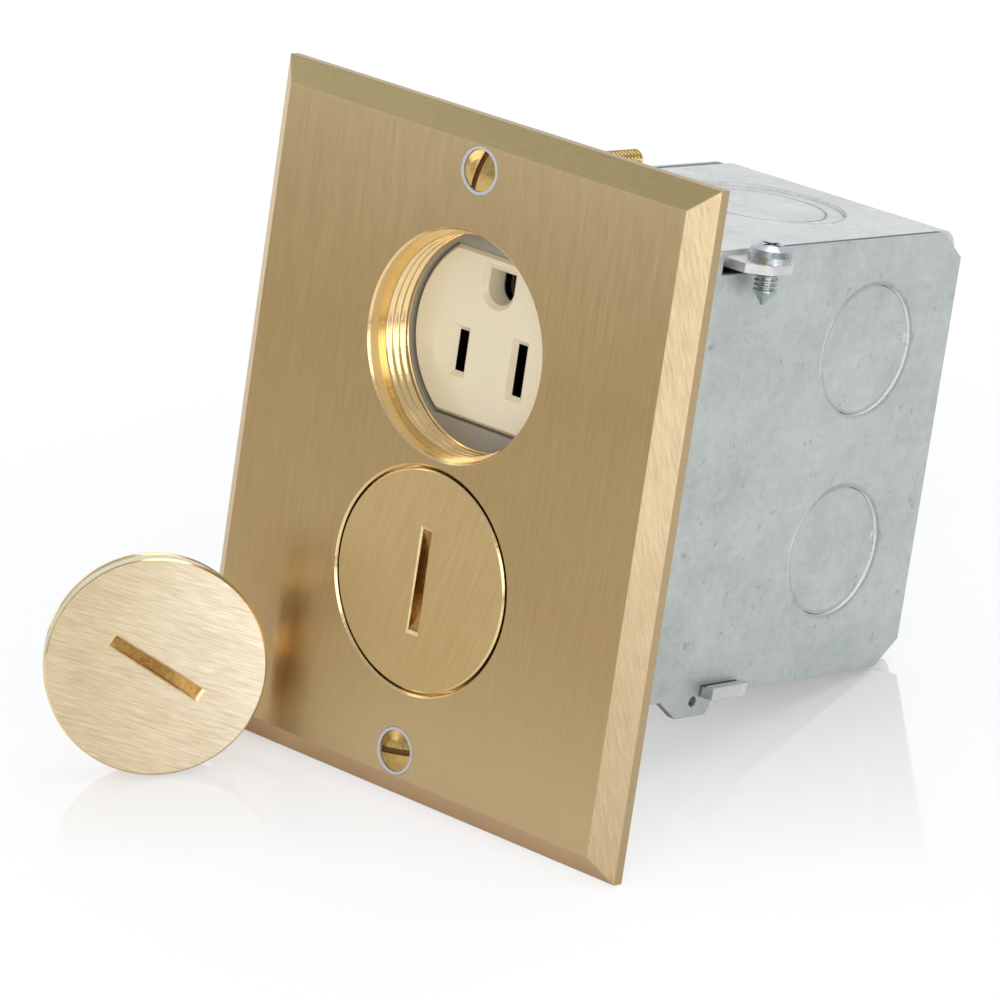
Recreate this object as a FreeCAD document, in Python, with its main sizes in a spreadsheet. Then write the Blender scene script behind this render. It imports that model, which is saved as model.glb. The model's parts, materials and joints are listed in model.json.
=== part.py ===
import FreeCAD, Part
import math
import os
import Sketcher

# Floor socket box. X runs across the plate, Z up its long side, and Y from the plate into the
# box. The origin is the centre of the cover plate's rear face; the plate's front looks to -Y.

doc = FreeCAD.newDocument("floor_socket_box")
sheet = doc.addObject("Spreadsheet::Sheet", "Sizes")

SIZES = [
    # cover plate and its threaded openings
    ("plate_width", 93.6), ("plate_margin", 0.15), ("plate_thickness", 4.9),
    ("plate_edge", 1.8), ("plate_bevel", 3.9), ("opening_pitch", 38.9),
    ("collar_web", 0.5), ("collar_wall", 1.4), ("collar_height", 3.6), ("land_step", 0.8),
    ("opening_chamfer", 0.35),
    # caps and their seals
    ("cap_land_clearance", 0.4), ("cap_head", 2.5), ("cap_thread_clearance", 0.05),
    ("cap_thread_length", 3.2), ("cap_rim_edge", 0.3), ("cap_wall", 3.85),
    ("cap_skirt", 3.4), ("seal_thickness", 0.6), ("seal_clearance", 0.3),
    ("cap_slot_width", 2.0), ("cap_slot_length", 17.4), ("cap_slot_depth", 1.9),
    ("loose_cap_x", -36.6), ("loose_cap_gap", 1.3), ("loose_cap_drop", 4.95),
    ("loose_cap_turn_angle", 52.0), ("loose_cap_lean_angle", 2.5),
    ("loose_cap_roll_angle", -63.0),
    # cover screws
    ("cover_screw_gap", 0.95), ("cover_screw_radius", 1.7), ("cover_screw_length", 36.7),
    ("cover_head_radius", 3.35), ("cover_head_height", 1.1), ("cover_head_dome", 0.5),
    ("screw_point_length", 0.8), ("screw_point_step", 0.6), ("upper_slot_angle", -73.0),
    ("lower_slot_angle", -9.0), ("washer_clearance", 0.15),
    ("washer_radius", 3.9), ("washer_base", 0.5), ("counterbore_depth", 1.8),
    ("screw_slot_width", 1.0), ("screw_slot_depth", 0.8), ("fit_clearance", 0.05),
    # gasket between the plate's collars and the receptacle
    ("gasket_width", 56.0), ("gasket_end", 3.85), ("gasket_thickness", 1.6),
    ("soft_clearance", 0.3),
    # receptacle
    ("face_depth", 8.6), ("face_radius", 16.9), ("face_half_flat", 13.8),
    ("face_shift", 0.1), ("face_rise", 6.0), ("face_edge", 0.6), ("shoulder_overhang", 0.2),
    ("slot_edge", 0.8),
    ("blade_line_drop", 3.0), ("blade_pitch", 12.7), ("blade_width", 1.9),
    ("line_blade_height", 6.8), ("neutral_blade_height", 8.5), ("ground_rise", 8.9),
    ("ground_radius", 2.75), ("ground_flat", 2.8), ("blade_cavity", 14.0),
    ("base_width", 33.0), ("base_margin", 0.35), ("base_depth", 21.0), ("base_chamfer", 1.2),
    ("cavity_width", 5.2), ("cavity_height", 11.0), ("contact_leaf", 0.5), ("contact_gap", 1.5),
    ("contact_height", 7.0), ("contact_setback", 1.0), ("contact_web", 6.0),
    ("ground_tube_radius", 3.6), ("ground_tube_length", 10.0),
    ("terminal_recess", 3.2), ("terminal_recess_width", 15.0), ("terminal_recess_height", 50.0),
    ("terminal_plate", 1.0), ("terminal_screw_pitch", 25.4), ("terminal_screw_radius", 3.6),
    ("terminal_screw_head", 1.6), ("terminal_shank_radius", 1.7), ("small_edge", 0.5),
    ("small_slot_width", 1.0), ("small_slot_depth", 0.7),
    ("terminal_shank_length", 4.2), ("ground_screw_x", 8.0), ("ground_screw_y", 17.5),
    ("ground_screw_head", 1.3), ("ground_tab_width", 9.0), ("ground_tab_end", 5.0),
    ("ground_tube_split", 1.0), ("ground_tube_web", 2.0), ("terminal_notch_depth", 4.0),
    ("terminal_notch_height", 5.0),
    # mounting strap
    ("strap_thickness", 1.2), ("strap_width", 9.4), ("strap_ear_width", 20.0),
    ("strap_end", 3.85), ("strap_corner", 2.5), ("strap_centre_hole", 1.45),
    ("device_screw_gap", 0.85),
    ("device_hole_radius", 2.1), ("ground_hole_clearance", 0.4),
    ("device_screw_radius", 1.7), ("device_head_radius", 3.3), ("device_head_height", 1.8),
    ("device_screw_length", 14.0), ("rivet_radius", 1.5), ("rivet_gap", 0.8),
    ("rivet_head_radius", 2.9), ("rivet_head", 1.5), ("rivet_cover", 1.2),
    # box
    ("box_width", 50.8), ("base_gap_above", 3.8), ("base_gap_below", 1.0), ("box_depth", 78.5),
    ("wall", 1.6), ("bend_radius", 2.0), ("seam", 0.1),
    ("box_ear_width", 17.0), ("box_ear_end", 4.85), ("box_ear_corner", 3.0),
    ("side_chamfer_y", 5.3), ("side_chamfer_z", 4.4),
    ("half_inch_knockout", 11.1), ("three_quarter_knockout", 14.3), ("knockout_gap", 0.15),
    ("knockout_sink", 0.5), ("knockout_tie_width", 2.6), ("knockout_tie_root", 1.0),
    ("side_knockout_pitch", 34.6), ("side_knockout_shift", 1.5), ("side_knockout_setback", 21.5),
    ("top_knockout_setback", 23.3),
    ("rear_knockout_pitch", 34.0), ("earth_hole_radius", 2.1), ("mount_hole_radius", 2.4),
    ("mount_hole_pitch", 36.0),
    # side screws, their tabs and the hooks
    ("tab_setback", 24.3), ("tab_length", 11.4), ("tab_reach", 6.1), ("tab_drop", 0.9), ("tab_corner", 3.2),
    ("notch_rear_gap", 2.4), ("notch_front_gap", 1.9), ("notch_depth", 3.6),
    ("side_screw_out", 3.0), ("side_screw_radius", 1.95), ("side_screw_head_radius", 3.5),
    ("side_screw_head", 2.8), ("side_screw_length", 7.2), ("side_screw_point", 2.4),
    ("hook_setback", 28.0), ("hook_length", 8.6), ("hook_reach", 2.6), ("hook_lip", 2.1),
    ("lobe_setback", 18.1), ("lobe_length", 12.6), ("lobe_drop", 3.3), ("lobe_slope", 4.4),
    ("lobe_hole_radius", 0.9), ("lobe_hole_rise", 2.6), ("lobe_hole_setback", 8.2),
]


class Size:
    """A length that keeps both its value and the sheet expression it comes from."""

    def __init__(self, text, value):
        self.text = text
        self.value = value

    def join(self, other, sign, value):
        right = other.text if isinstance(other, Size) else repr(float(other))
        return Size("(%s %s %s)" % (self.text, sign, right), value)

    def __add__(self, other):
        return self.join(other, "+", self.value + number(other))

    def __sub__(self, other):
        return self.join(other, "-", self.value - number(other))

    def __mul__(self, other):
        return self.join(other, "*", self.value * number(other))

    def __truediv__(self, other):
        return self.join(other, "/", self.value / number(other))

    def __neg__(self):
        return Size("(0 - %s)" % self.text, -self.value)


def number(size):
    return size.value if isinstance(size, Size) else float(size)


for row, (alias, value) in enumerate(SIZES, start=1):
    sheet.set("A%d" % row, alias)
    sheet.set("B%d" % row, str(value))
    sheet.setAlias("B%d" % row, alias)
doc.recompute()

s = {alias: Size("Sizes." + alias, float(sheet.get(alias))) for alias, _ in SIZES}


def bind(thing, path, size):
    if isinstance(size, Size):
        thing.setExpression(path, size.text)
    else:
        thing.setExpression(path, repr(float(size)))


# ---------------------------------------------------------------- sketches and features

def new_body(name):
    body = doc.addObject("PartDesign::Body", name)
    body.Label = name
    return body


def plane_of(body, role):
    for feature in body.Origin.OriginFeatures:
        if feature.Role == role:
            return feature
    raise ValueError(role)


def pin(sketch, geo, point, x, y):
    """Holds one point of a sketch at the named lengths from the sketch's origin."""
    for kind, size in (("DistanceX", x), ("DistanceY", y)):
        index = sketch.addConstraint(Sketcher.Constraint(kind, -1, 1, geo, point, number(size)))
        if isinstance(size, Size):
            sketch.setExpression("Constraints[%d]" % index, size.text)


def draw_polygon(sketch, points):
    count = len(points)
    first = sketch.GeometryCount
    for i in range(count):
        a, b = points[i], points[(i + 1) % count]
        start = FreeCAD.Vector(number(a[0]), number(a[1]), 0)
        end = FreeCAD.Vector(number(b[0]), number(b[1]), 0)
        sketch.addGeometry(Part.LineSegment(start, end))
    for i in range(count):
        after = first + (i + 1) % count
        sketch.addConstraint(Sketcher.Constraint("Coincident", first + i, 2, after, 1))
    for i in range(count):
        pin(sketch, first + i, 1, points[i][0], points[i][1])


def draw_rectangle(sketch, x, y, width, height):
    half_w, half_h = width / 2, height / 2
    draw_polygon(sketch, [(x - half_w, y - half_h), (x + half_w, y - half_h),
                          (x + half_w, y + half_h), (x - half_w, y + half_h)])


def draw_circle(sketch, x, y, radius):
    centre = FreeCAD.Vector(number(x), number(y), 0)
    geo = sketch.addGeometry(Part.Circle(centre, FreeCAD.Vector(0, 0, 1), number(radius)))
    pin(sketch, geo, 3, x, y)
    index = sketch.addConstraint(Sketcher.Constraint("Radius", geo, number(radius)))
    bind(sketch, "Constraints[%d]" % index, radius)


def draw_cut_circle(sketch, x, y, radius, low, high):
    """A circle cut flat at low below its centre and at high above it."""
    cx, cy, r = number(x), number(y), number(radius)
    centre = FreeCAD.Vector(cx, cy, 0)
    circle = Part.Circle(centre, FreeCAD.Vector(0, 0, 1), r)
    lower = -math.asin(number(low) / r)
    upper = math.asin(number(high) / r)
    right = sketch.addGeometry(Part.ArcOfCircle(circle, lower, upper))
    left = sketch.addGeometry(Part.ArcOfCircle(circle, math.pi - upper, math.pi - lower))
    top_y, low_y = cy + number(high), cy - number(low)
    reach_top, reach_low = r * math.cos(upper), r * math.cos(lower)
    top = sketch.addGeometry(Part.LineSegment(
        FreeCAD.Vector(cx + reach_top, top_y, 0), FreeCAD.Vector(cx - reach_top, top_y, 0)))
    base = sketch.addGeometry(Part.LineSegment(
        FreeCAD.Vector(cx - reach_low, low_y, 0), FreeCAD.Vector(cx + reach_low, low_y, 0)))
    join = Sketcher.Constraint
    sketch.addConstraint(join("Coincident", right, 2, top, 1))
    sketch.addConstraint(join("Coincident", top, 2, left, 1))
    sketch.addConstraint(join("Coincident", left, 2, base, 1))
    sketch.addConstraint(join("Coincident", base, 2, right, 1))
    sketch.addConstraint(join("Coincident", right, 3, left, 3))
    sketch.addConstraint(join("Horizontal", top))
    sketch.addConstraint(join("Horizontal", base))
    sketch.addConstraint(join("Equal", right, left))
    pin(sketch, right, 3, x, y)
    index = sketch.addConstraint(join("Radius", right, r))
    bind(sketch, "Constraints[%d]" % index, radius)
    index = sketch.addConstraint(join("DistanceY", -1, 1, top, 1, top_y))
    bind(sketch, "Constraints[%d]" % index, y + high)
    index = sketch.addConstraint(join("DistanceY", -1, 1, base, 1, low_y))
    bind(sketch, "Constraints[%d]" % index, y - low)


def draw_arch(sketch, x, y, radius, rise):
    """Half a circle below y, with straight sides up to a flat top at rise above y."""
    cx, cy, r, top_y = number(x), number(y), number(radius), number(y + rise)
    ring = Part.Circle(FreeCAD.Vector(cx, cy, 0), FreeCAD.Vector(0, 0, 1), r)
    arc = sketch.addGeometry(Part.ArcOfCircle(ring, math.pi, math.pi * 2))
    corners = [(cx + r, cy), (cx + r, top_y), (cx - r, top_y), (cx - r, cy)]
    lines = []
    for a, b in zip(corners, corners[1:]):
        lines.append(sketch.addGeometry(Part.LineSegment(
            FreeCAD.Vector(a[0], a[1], 0), FreeCAD.Vector(b[0], b[1], 0))))
    join = Sketcher.Constraint
    sketch.addConstraint(join("Coincident", arc, 2, lines[0], 1))
    sketch.addConstraint(join("Coincident", lines[0], 2, lines[1], 1))
    sketch.addConstraint(join("Coincident", lines[1], 2, lines[2], 1))
    sketch.addConstraint(join("Coincident", lines[2], 2, arc, 1))
    pin(sketch, arc, 3, x, y)
    pin(sketch, lines[0], 1, x + radius, y)
    pin(sketch, lines[1], 1, x + radius, y + rise)
    pin(sketch, lines[2], 1, x - radius, y + rise)
    index = sketch.addConstraint(join("DistanceY", -1, 1, lines[2], 2, cy))
    bind(sketch, "Constraints[%d]" % index, y)


def new_sketch(body, role, level, drawings):
    """A sketch on an origin plane, moved by level along the plane's normal (XZ's is -Y)."""
    sketch = body.newObject("Sketcher::SketchObject", body.Name + "_sketch")
    sketch.AttachmentSupport = [(plane_of(body, role), "")]
    sketch.MapMode = "FlatFace"
    if level is not None:
        bind(sketch, "AttachmentOffset.Base.z", level)
    for drawing in drawings:
        drawing[0](sketch, *drawing[1:])
    return sketch


def extrude(body, kind, role, level, length, drawings, reverse=False, middle=False):
    sketch = new_sketch(body, role, level, drawings)
    feature = body.newObject("PartDesign::" + kind, body.Name + "_" + kind.lower())
    feature.Profile = sketch
    bind(feature, "Length", length)
    feature.Reversed = reverse
    feature.Midplane = middle
    body.Tip = feature
    doc.recompute()
    return feature


def pad(body, role, level, length, *drawings, **options):
    return extrude(body, "Pad", role, level, length, drawings, **options)


def pocket(body, role, level, length, *drawings, **options):
    before = body.Shape.Volume
    feature = extrude(body, "Pocket", role, level, length, drawings, **options)
    if body.Shape.Volume >= before - 1e-6:
        raise RuntimeError("%s cuts nothing" % feature.Name)
    return feature


def revolve(body, role, axis, *drawings, kind="Revolution", level=None):
    sketch = new_sketch(body, role, level, drawings)
    feature = body.newObject("PartDesign::" + kind, body.Name + "_" + kind.lower())
    feature.Profile = sketch
    feature.ReferenceAxis = (sketch, [axis])
    feature.Angle = 360
    body.Tip = feature
    doc.recompute()
    return feature


def dress(body, kind, edges, size_name, size):
    base = body.Tip
    feature = body.newObject("PartDesign::" + kind, body.Name + "_" + kind.lower())
    feature.Base = (base, edges)
    bind(feature, size_name, size)
    body.Tip = feature
    doc.recompute()
    return feature


def edges_where(shape, test):
    names = []
    for index, edge in enumerate(shape.Edges, start=1):
        if test(edge):
            names.append("Edge%d" % index)
    if not names:
        raise RuntimeError("no edges found")
    return names


def near(a, b, slack=0.01):
    return abs(a - b) < slack


polygon, rectangle, circle = draw_polygon, draw_rectangle, draw_circle
cut_circle, arch = draw_cut_circle, draw_arch
ZERO = Size("0", 0.0)

# The openings fill the pitch of the outlets, and the caps fit the openings.
half_pitch = s["opening_pitch"] / 2
collar_radius = half_pitch - s["collar_web"] / 2
bore_radius = collar_radius - s["collar_wall"]
land_radius = bore_radius + s["land_step"]
land_depth = s["cap_head"] + s["seal_thickness"]
cap_radius = land_radius - s["cap_land_clearance"]
plug_radius = bore_radius - s["cap_thread_clearance"]
plug_end = land_depth + s["cap_thread_length"]

# Levels along Y that pieces share.
front = -s["plate_thickness"]
face_front = s["face_depth"] - s["plate_thickness"]
strap_front = face_front + s["face_rise"]
strap_rear = strap_front + s["strap_thickness"]
gasket_rear = s["collar_height"] + s["gasket_thickness"]
box_front = strap_rear
box_rear = box_front + s["box_depth"]

# Up the part, the box takes the receptacle's base, and each row of screws clears the last.
half_base_height = half_pitch + s["face_shift"] + s["face_half_flat"] + s["base_margin"]
base_height = half_base_height * 2
box_top = half_base_height + s["base_gap_above"] + s["wall"]
box_bottom = -(half_base_height + s["base_gap_below"] + s["wall"])
box_middle = (box_top + box_bottom) / 2
half_box = s["box_width"] / 2
device_screw_z = box_top + s["device_screw_gap"] + s["device_screw_radius"]
half_strap = device_screw_z + s["strap_end"]
cover_screw_z = half_strap + s["cover_screw_gap"] + s["cover_screw_radius"]
counterbore_radius = s["washer_radius"] + s["fit_clearance"]
half_plate = cover_screw_z + counterbore_radius + s["plate_margin"] + s["plate_bevel"]
plate_height = half_plate * 2

# ---------------------------------------------------------------- cover plate

plate = new_body("cover_plate")
pad(plate, "XZ_Plane", ZERO, s["plate_edge"],
    (rectangle, ZERO, ZERO, s["plate_width"], plate_height))
bevel_foot = new_sketch(plate, "XZ_Plane", s["plate_edge"], [
    (rectangle, ZERO, ZERO, s["plate_width"], plate_height)])
bevel_head = new_sketch(plate, "XZ_Plane", s["plate_thickness"], [
    (rectangle, ZERO, ZERO, s["plate_width"] - s["plate_bevel"] * 2,
     plate_height - s["plate_bevel"] * 2)])
bevel = plate.newObject("PartDesign::AdditiveLoft", "cover_plate_bevel")
bevel.Profile = bevel_foot
bevel.Sections = [bevel_head]
bevel.Ruled = True
plate.Tip = bevel
doc.recompute()
# collars behind the plate carry the rest of each thread
for sign in (1, -1):
    pad(plate, "XZ_Plane", ZERO, s["collar_height"],
        (circle, ZERO, half_pitch * sign, collar_radius), reverse=True)
for sign in (1, -1):
    z = half_pitch * sign
    pocket(plate, "XZ_Plane", s["plate_thickness"], s["plate_thickness"] + s["collar_height"],
           (circle, ZERO, z, bore_radius))
    pocket(plate, "XZ_Plane", s["plate_thickness"], land_depth,
           (circle, ZERO, z, land_radius))
for sign in (1, -1):
    z = cover_screw_z * sign
    pocket(plate, "XZ_Plane", s["plate_thickness"], s["counterbore_depth"],
           (circle, ZERO, z, counterbore_radius))
    pocket(plate, "XZ_Plane", s["plate_thickness"], s["plate_thickness"],
           (circle, ZERO, z, s["cover_screw_radius"] + s["soft_clearance"]))
mouths = edges_where(plate.Shape, lambda e: near(e.BoundBox.YMax, number(front))
                     and near(e.BoundBox.XLength, 2 * number(land_radius)))
dress(plate, "Chamfer", mouths, "Size", s["opening_chamfer"])

# ---------------------------------------------------------------- caps and seals

# the saw that cuts the coin slot: its radius follows from the slot's length and depth
half_slot = s["cap_slot_length"] / 2
saw = (half_slot * half_slot / s["cap_slot_depth"] + s["cap_slot_depth"]) / 2


def make_cap(name):
    """A cap with its face at Y = 0, its thread to +Y and its coin slot along Z."""
    body = new_body(name)
    skirt = plug_radius - s["cap_skirt"]
    revolve(body, "XY_Plane", "V_Axis", (polygon, [
        (ZERO, ZERO), (cap_radius, ZERO), (cap_radius, s["cap_head"]),
        (plug_radius, s["cap_head"]), (plug_radius, plug_end), (skirt, plug_end),
        (skirt, s["cap_wall"]), (ZERO, s["cap_wall"])]))
    rim = edges_where(body.Shape, lambda e: near(e.BoundBox.YMax, 0)
                      and near(e.BoundBox.XLength, 2 * number(cap_radius)))
    dress(body, "Chamfer", rim, "Size", s["cap_rim_edge"])
    before = body.Shape.Volume
    cut = new_sketch(body, "XY_Plane", None, [(polygon, [
        (-s["cap_slot_width"] / 2, ZERO), (s["cap_slot_width"] / 2, ZERO),
        (s["cap_slot_width"] / 2, saw), (-s["cap_slot_width"] / 2, saw)])])
    bind(cut, "AttachmentOffset.Base.y", s["cap_slot_depth"] - saw)
    groove = body.newObject("PartDesign::Groove", name + "_slot")
    groove.Profile = cut
    groove.ReferenceAxis = (cut, ["H_Axis"])
    groove.Angle = 360
    body.Tip = groove
    doc.recompute()
    if body.Shape.Volume >= before:
        raise RuntimeError("cap slot cuts nothing")
    return body


def make_seal(name):
    """A flat ring round the cap's thread, under its head."""
    body = new_body(name)
    inner = plug_radius + s["fit_clearance"]
    outer = cap_radius - s["seal_clearance"] / 2
    revolve(body, "XY_Plane", "V_Axis", (polygon, [
        (inner, s["cap_head"]), (outer, s["cap_head"]),
        (outer, s["cap_head"] + s["seal_thickness"]),
        (inner, s["cap_head"] + s["seal_thickness"])]))
    return body


lower_cap = make_cap("lower_cap")
lower_seal = make_seal("lower_cap_seal")
for piece in (lower_cap, lower_seal):
    bind(piece, "Placement.Base.y", front)
    bind(piece, "Placement.Base.z", -half_pitch)

upper_cap = make_cap("upper_cap")
upper_seal = make_seal("upper_cap_seal")
for piece in (upper_cap, upper_seal):
    turn = FreeCAD.Rotation(FreeCAD.Vector(0, 0, 1), number(s["loose_cap_turn_angle"]))
    lean = FreeCAD.Rotation(FreeCAD.Vector(1, 0, 0), -number(s["loose_cap_lean_angle"]))
    roll = FreeCAD.Rotation(FreeCAD.Vector(0, 1, 0), number(s["loose_cap_roll_angle"]))
    piece.Placement.Rotation = turn.multiply(lean).multiply(roll)
    bind(piece, "Placement.Base.x", s["loose_cap_x"])
    bind(piece, "Placement.Base.y", front - s["loose_cap_gap"] - cap_radius)
    bind(piece, "Placement.Base.z", cap_radius - half_plate - s["loose_cap_drop"])

# ---------------------------------------------------------------- small fasteners


def solid_node(name, shapes, y=None):
    """A node made of several loose solids of one kind."""
    node = doc.addObject("Part::Feature", name)
    node.Label = name
    node.Shape = Part.makeCompound(shapes)
    if y is not None:
        node.Placement.Base.y = number(y)
    return node


V = FreeCAD.Vector
AXIS = {"x": V(1, 0, 0), "y": V(0, 1, 0), "z": V(0, 0, 1)}


def turned(profile, axis="y", centre=(0, 0, 0)):
    """A solid of revolution: profile holds (radius, distance along the axis) pairs."""
    points = [V(number(r), number(d), 0) for r, d in profile]
    wire = Part.makePolygon(points + [points[0]])
    solid = Part.Face(wire).revolve(V(0, 0, 0), V(0, 1, 0), 360)
    if axis == "x":
        solid.rotate(V(0, 0, 0), V(0, 0, 1), -90)
    if axis == "z":
        solid.rotate(V(0, 0, 0), V(1, 0, 0), 90)
    solid.translate(V(*[number(c) for c in centre]))
    return solid


def block(x, y, z):
    """A block between pairs of lengths along each axis."""
    low = [min(number(a), number(b)) for a, b in (x, y, z)]
    high = [max(number(a), number(b)) for a, b in (x, y, z)]
    return Part.makeBox(high[0] - low[0], high[1] - low[1], high[2] - low[2], V(*low))


washer_seat = front + s["counterbore_depth"]
head_base = washer_seat - s["washer_base"]
head_top = head_base - s["cover_head_height"]
crown = head_top - s["cover_head_dome"]
screw_end = head_base + s["cover_screw_length"]
washer_hole = s["cover_screw_radius"] + s["washer_clearance"]
screws = []
washers = []
for sign, slot_turn in ((1, s["upper_slot_angle"]), (-1, s["lower_slot_angle"])):
    z = cover_screw_z * sign
    bolt = turned([(0, crown), (s["cover_head_radius"] * 0.55, crown + s["cover_head_dome"] * 0.3),
                   (s["cover_head_radius"], head_top), (s["cover_head_radius"], head_base),
                   (s["cover_screw_radius"], head_base),
                   (s["cover_screw_radius"], screw_end - s["screw_point_length"]),
                   (s["cover_screw_radius"] - s["screw_point_step"], screw_end),
                   (0, screw_end)], "y", (0, 0, z))
    slot = block((-s["cover_head_radius"] - 1, s["cover_head_radius"] + 1),
                 (crown - 1, head_top + s["screw_slot_depth"] - s["cover_head_dome"]),
                 (-s["screw_slot_width"] / 2, s["screw_slot_width"] / 2))
    slot.rotate(V(0, 0, 0), V(0, 1, 0), number(slot_turn))
    slot.translate(V(0, 0, number(z)))
    screws.append(bolt.cut(slot))
    washers.append(turned([(washer_hole, head_base),
                           (s["cover_head_radius"] + s["fit_clearance"], head_base),
                           (s["cover_head_radius"] + s["fit_clearance"], front),
                           (s["washer_radius"], front), (s["washer_radius"], washer_seat),
                           (washer_hole, washer_seat)], "y", (0, 0, z)))
solid_node("cover_screws", screws)
solid_node("screw_washers", washers)

# ---------------------------------------------------------------- gasket

gasket = new_body("face_gasket")
drawings = [(rectangle, ZERO, ZERO, s["gasket_width"],
             (cover_screw_z + s["gasket_end"]) * 2)]
for sign in (1, -1):
    drawings.append((cut_circle, ZERO, half_pitch * sign + s["face_shift"],
                     s["face_radius"] + s["soft_clearance"],
                     s["face_half_flat"] + s["soft_clearance"],
                     s["face_half_flat"] + s["soft_clearance"]))
    drawings.append((circle, ZERO, cover_screw_z * sign,
                     s["cover_screw_radius"] + s["soft_clearance"]))
pad(gasket, "XZ_Plane", -gasket_rear, s["gasket_thickness"], *drawings)

# ---------------------------------------------------------------- receptacle front

receptacle = new_body("receptacle_front")
shoulder = gasket_rear + s["soft_clearance"]
pad(receptacle, "XZ_Plane", -strap_front, strap_front - shoulder,
    (rectangle, ZERO, ZERO, s["base_width"] + s["shoulder_overhang"] * 2, base_height))
for sign in (1, -1):
    pad(receptacle, "XZ_Plane", -shoulder, shoulder - face_front,
        (cut_circle, ZERO, half_pitch * sign + s["face_shift"], s["face_radius"],
         s["face_half_flat"], s["face_half_flat"]))
rims = edges_where(receptacle.Shape, lambda e: near(e.BoundBox.YMax, number(face_front)))
dress(receptacle, "Chamfer", rims, "Size", s["face_edge"])
half_blade = s["blade_pitch"] / 2
blades = []
for sign in (1, -1):
    line_z = half_pitch * sign - s["blade_line_drop"]
    blades.append((rectangle, -half_blade, line_z, s["blade_width"], s["line_blade_height"]))
    blades.append((rectangle, half_blade, line_z, s["blade_width"], s["neutral_blade_height"]))
    blades.append((arch, ZERO, half_pitch * sign + s["ground_rise"], s["ground_radius"],
                   s["ground_flat"]))
pocket(receptacle, "XZ_Plane", -face_front, s["face_rise"], *blades)
# lead-ins round the slots and the earth holes
mouths = edges_where(receptacle.Shape, lambda e: near(e.BoundBox.YMin, number(face_front))
                     and near(e.BoundBox.YLength, 0)
                     and abs(e.BoundBox.Center.x) < number(half_blade + s["blade_width"])
                     and max(e.BoundBox.XLength, e.BoundBox.ZLength)
                     < number(s["neutral_blade_height"]) + 0.1)
dress(receptacle, "Chamfer", mouths, "Size", s["slot_edge"])
pocket(receptacle, "XZ_Plane", -shoulder, s["face_rise"],
       (circle, ZERO, ZERO, s["device_hole_radius"]))

# ---------------------------------------------------------------- receptacle base

base_rear = strap_rear + s["base_depth"]
base = new_body("receptacle_base")
pad(base, "XZ_Plane", -base_rear, base_rear - strap_front,
    (rectangle, ZERO, ZERO, s["base_width"], base_height))
rear_rims = edges_where(base.Shape, lambda e: near(e.BoundBox.YMin, number(base_rear)))
dress(base, "Chamfer", rear_rims, "Size", s["base_chamfer"])
channel = s["strap_width"] + s["fit_clearance"] * 2
pocket(base, "XZ_Plane", -strap_front, s["strap_thickness"],
       (rectangle, ZERO, ZERO, channel, base_height + 2))
cavities = []
for sign in (1, -1):
    line_z = half_pitch * sign - s["blade_line_drop"]
    for side in (1, -1):
        cavities.append((rectangle, half_blade * side, line_z, s["cavity_width"],
                         s["cavity_height"]))
pocket(base, "XZ_Plane", -strap_front, s["blade_cavity"], *cavities)
earth_wells = [(circle, ZERO, half_pitch * sign + s["ground_rise"],
                s["ground_tube_radius"] + s["soft_clearance"]) for sign in (1, -1)]
pocket(base, "XZ_Plane", -strap_front, s["blade_cavity"], *earth_wells)
half_base = s["base_width"] / 2
terminal_x = half_base - s["terminal_recess"]
terminal_y = strap_rear + s["base_depth"] / 2
half_terminal = s["terminal_screw_pitch"] / 2
web_y = strap_front + s["blade_cavity"] - s["contact_leaf"]
for side in (1, -1):
    outer = half_base * side
    pocket(base, "YZ_Plane", outer, s["terminal_recess"],
           (rectangle, terminal_y, ZERO, s["terminal_recess_width"],
            s["terminal_recess_height"]), reverse=side < 0)
    drawings = []
    for sign in (1, -1):
        drawings.append((circle, terminal_y, half_terminal * sign,
                         s["terminal_shank_radius"] + s["fit_clearance"]))
    pocket(base, "YZ_Plane", terminal_x * side, s["terminal_shank_length"], *drawings,
           reverse=side < 0)
    webs = [(rectangle, web_y + s["contact_leaf"] / 2,
             half_pitch * sign - s["blade_line_drop"], s["contact_leaf"] * 2,
             s["contact_web"] + 1) for sign in (1, -1)]
    pocket(base, "YZ_Plane", terminal_x * side, terminal_x - half_blade, *webs,
           reverse=side < 0)
rivet_x = terminal_x - s["rivet_gap"] - s["rivet_radius"]
bolt_holes = [(circle, rivet_x * side, ZERO, s["rivet_radius"] + s["fit_clearance"])
              for side in (1, -1)]
pocket(base, "XZ_Plane", -base_rear, base_rear - strap_front, *bolt_holes, reverse=True)
pocket(receptacle, "XZ_Plane", -strap_front, strap_front - shoulder - s["rivet_cover"],
       *bolt_holes, reverse=True)
ground_screw_z = base_height / 2
pocket(base, "XY_Plane", ground_screw_z, s["terminal_shank_length"],
       (circle, s["ground_screw_x"], s["ground_screw_y"],
        s["terminal_shank_radius"] + s["fit_clearance"]))

# ---------------------------------------------------------------- contacts


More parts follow.
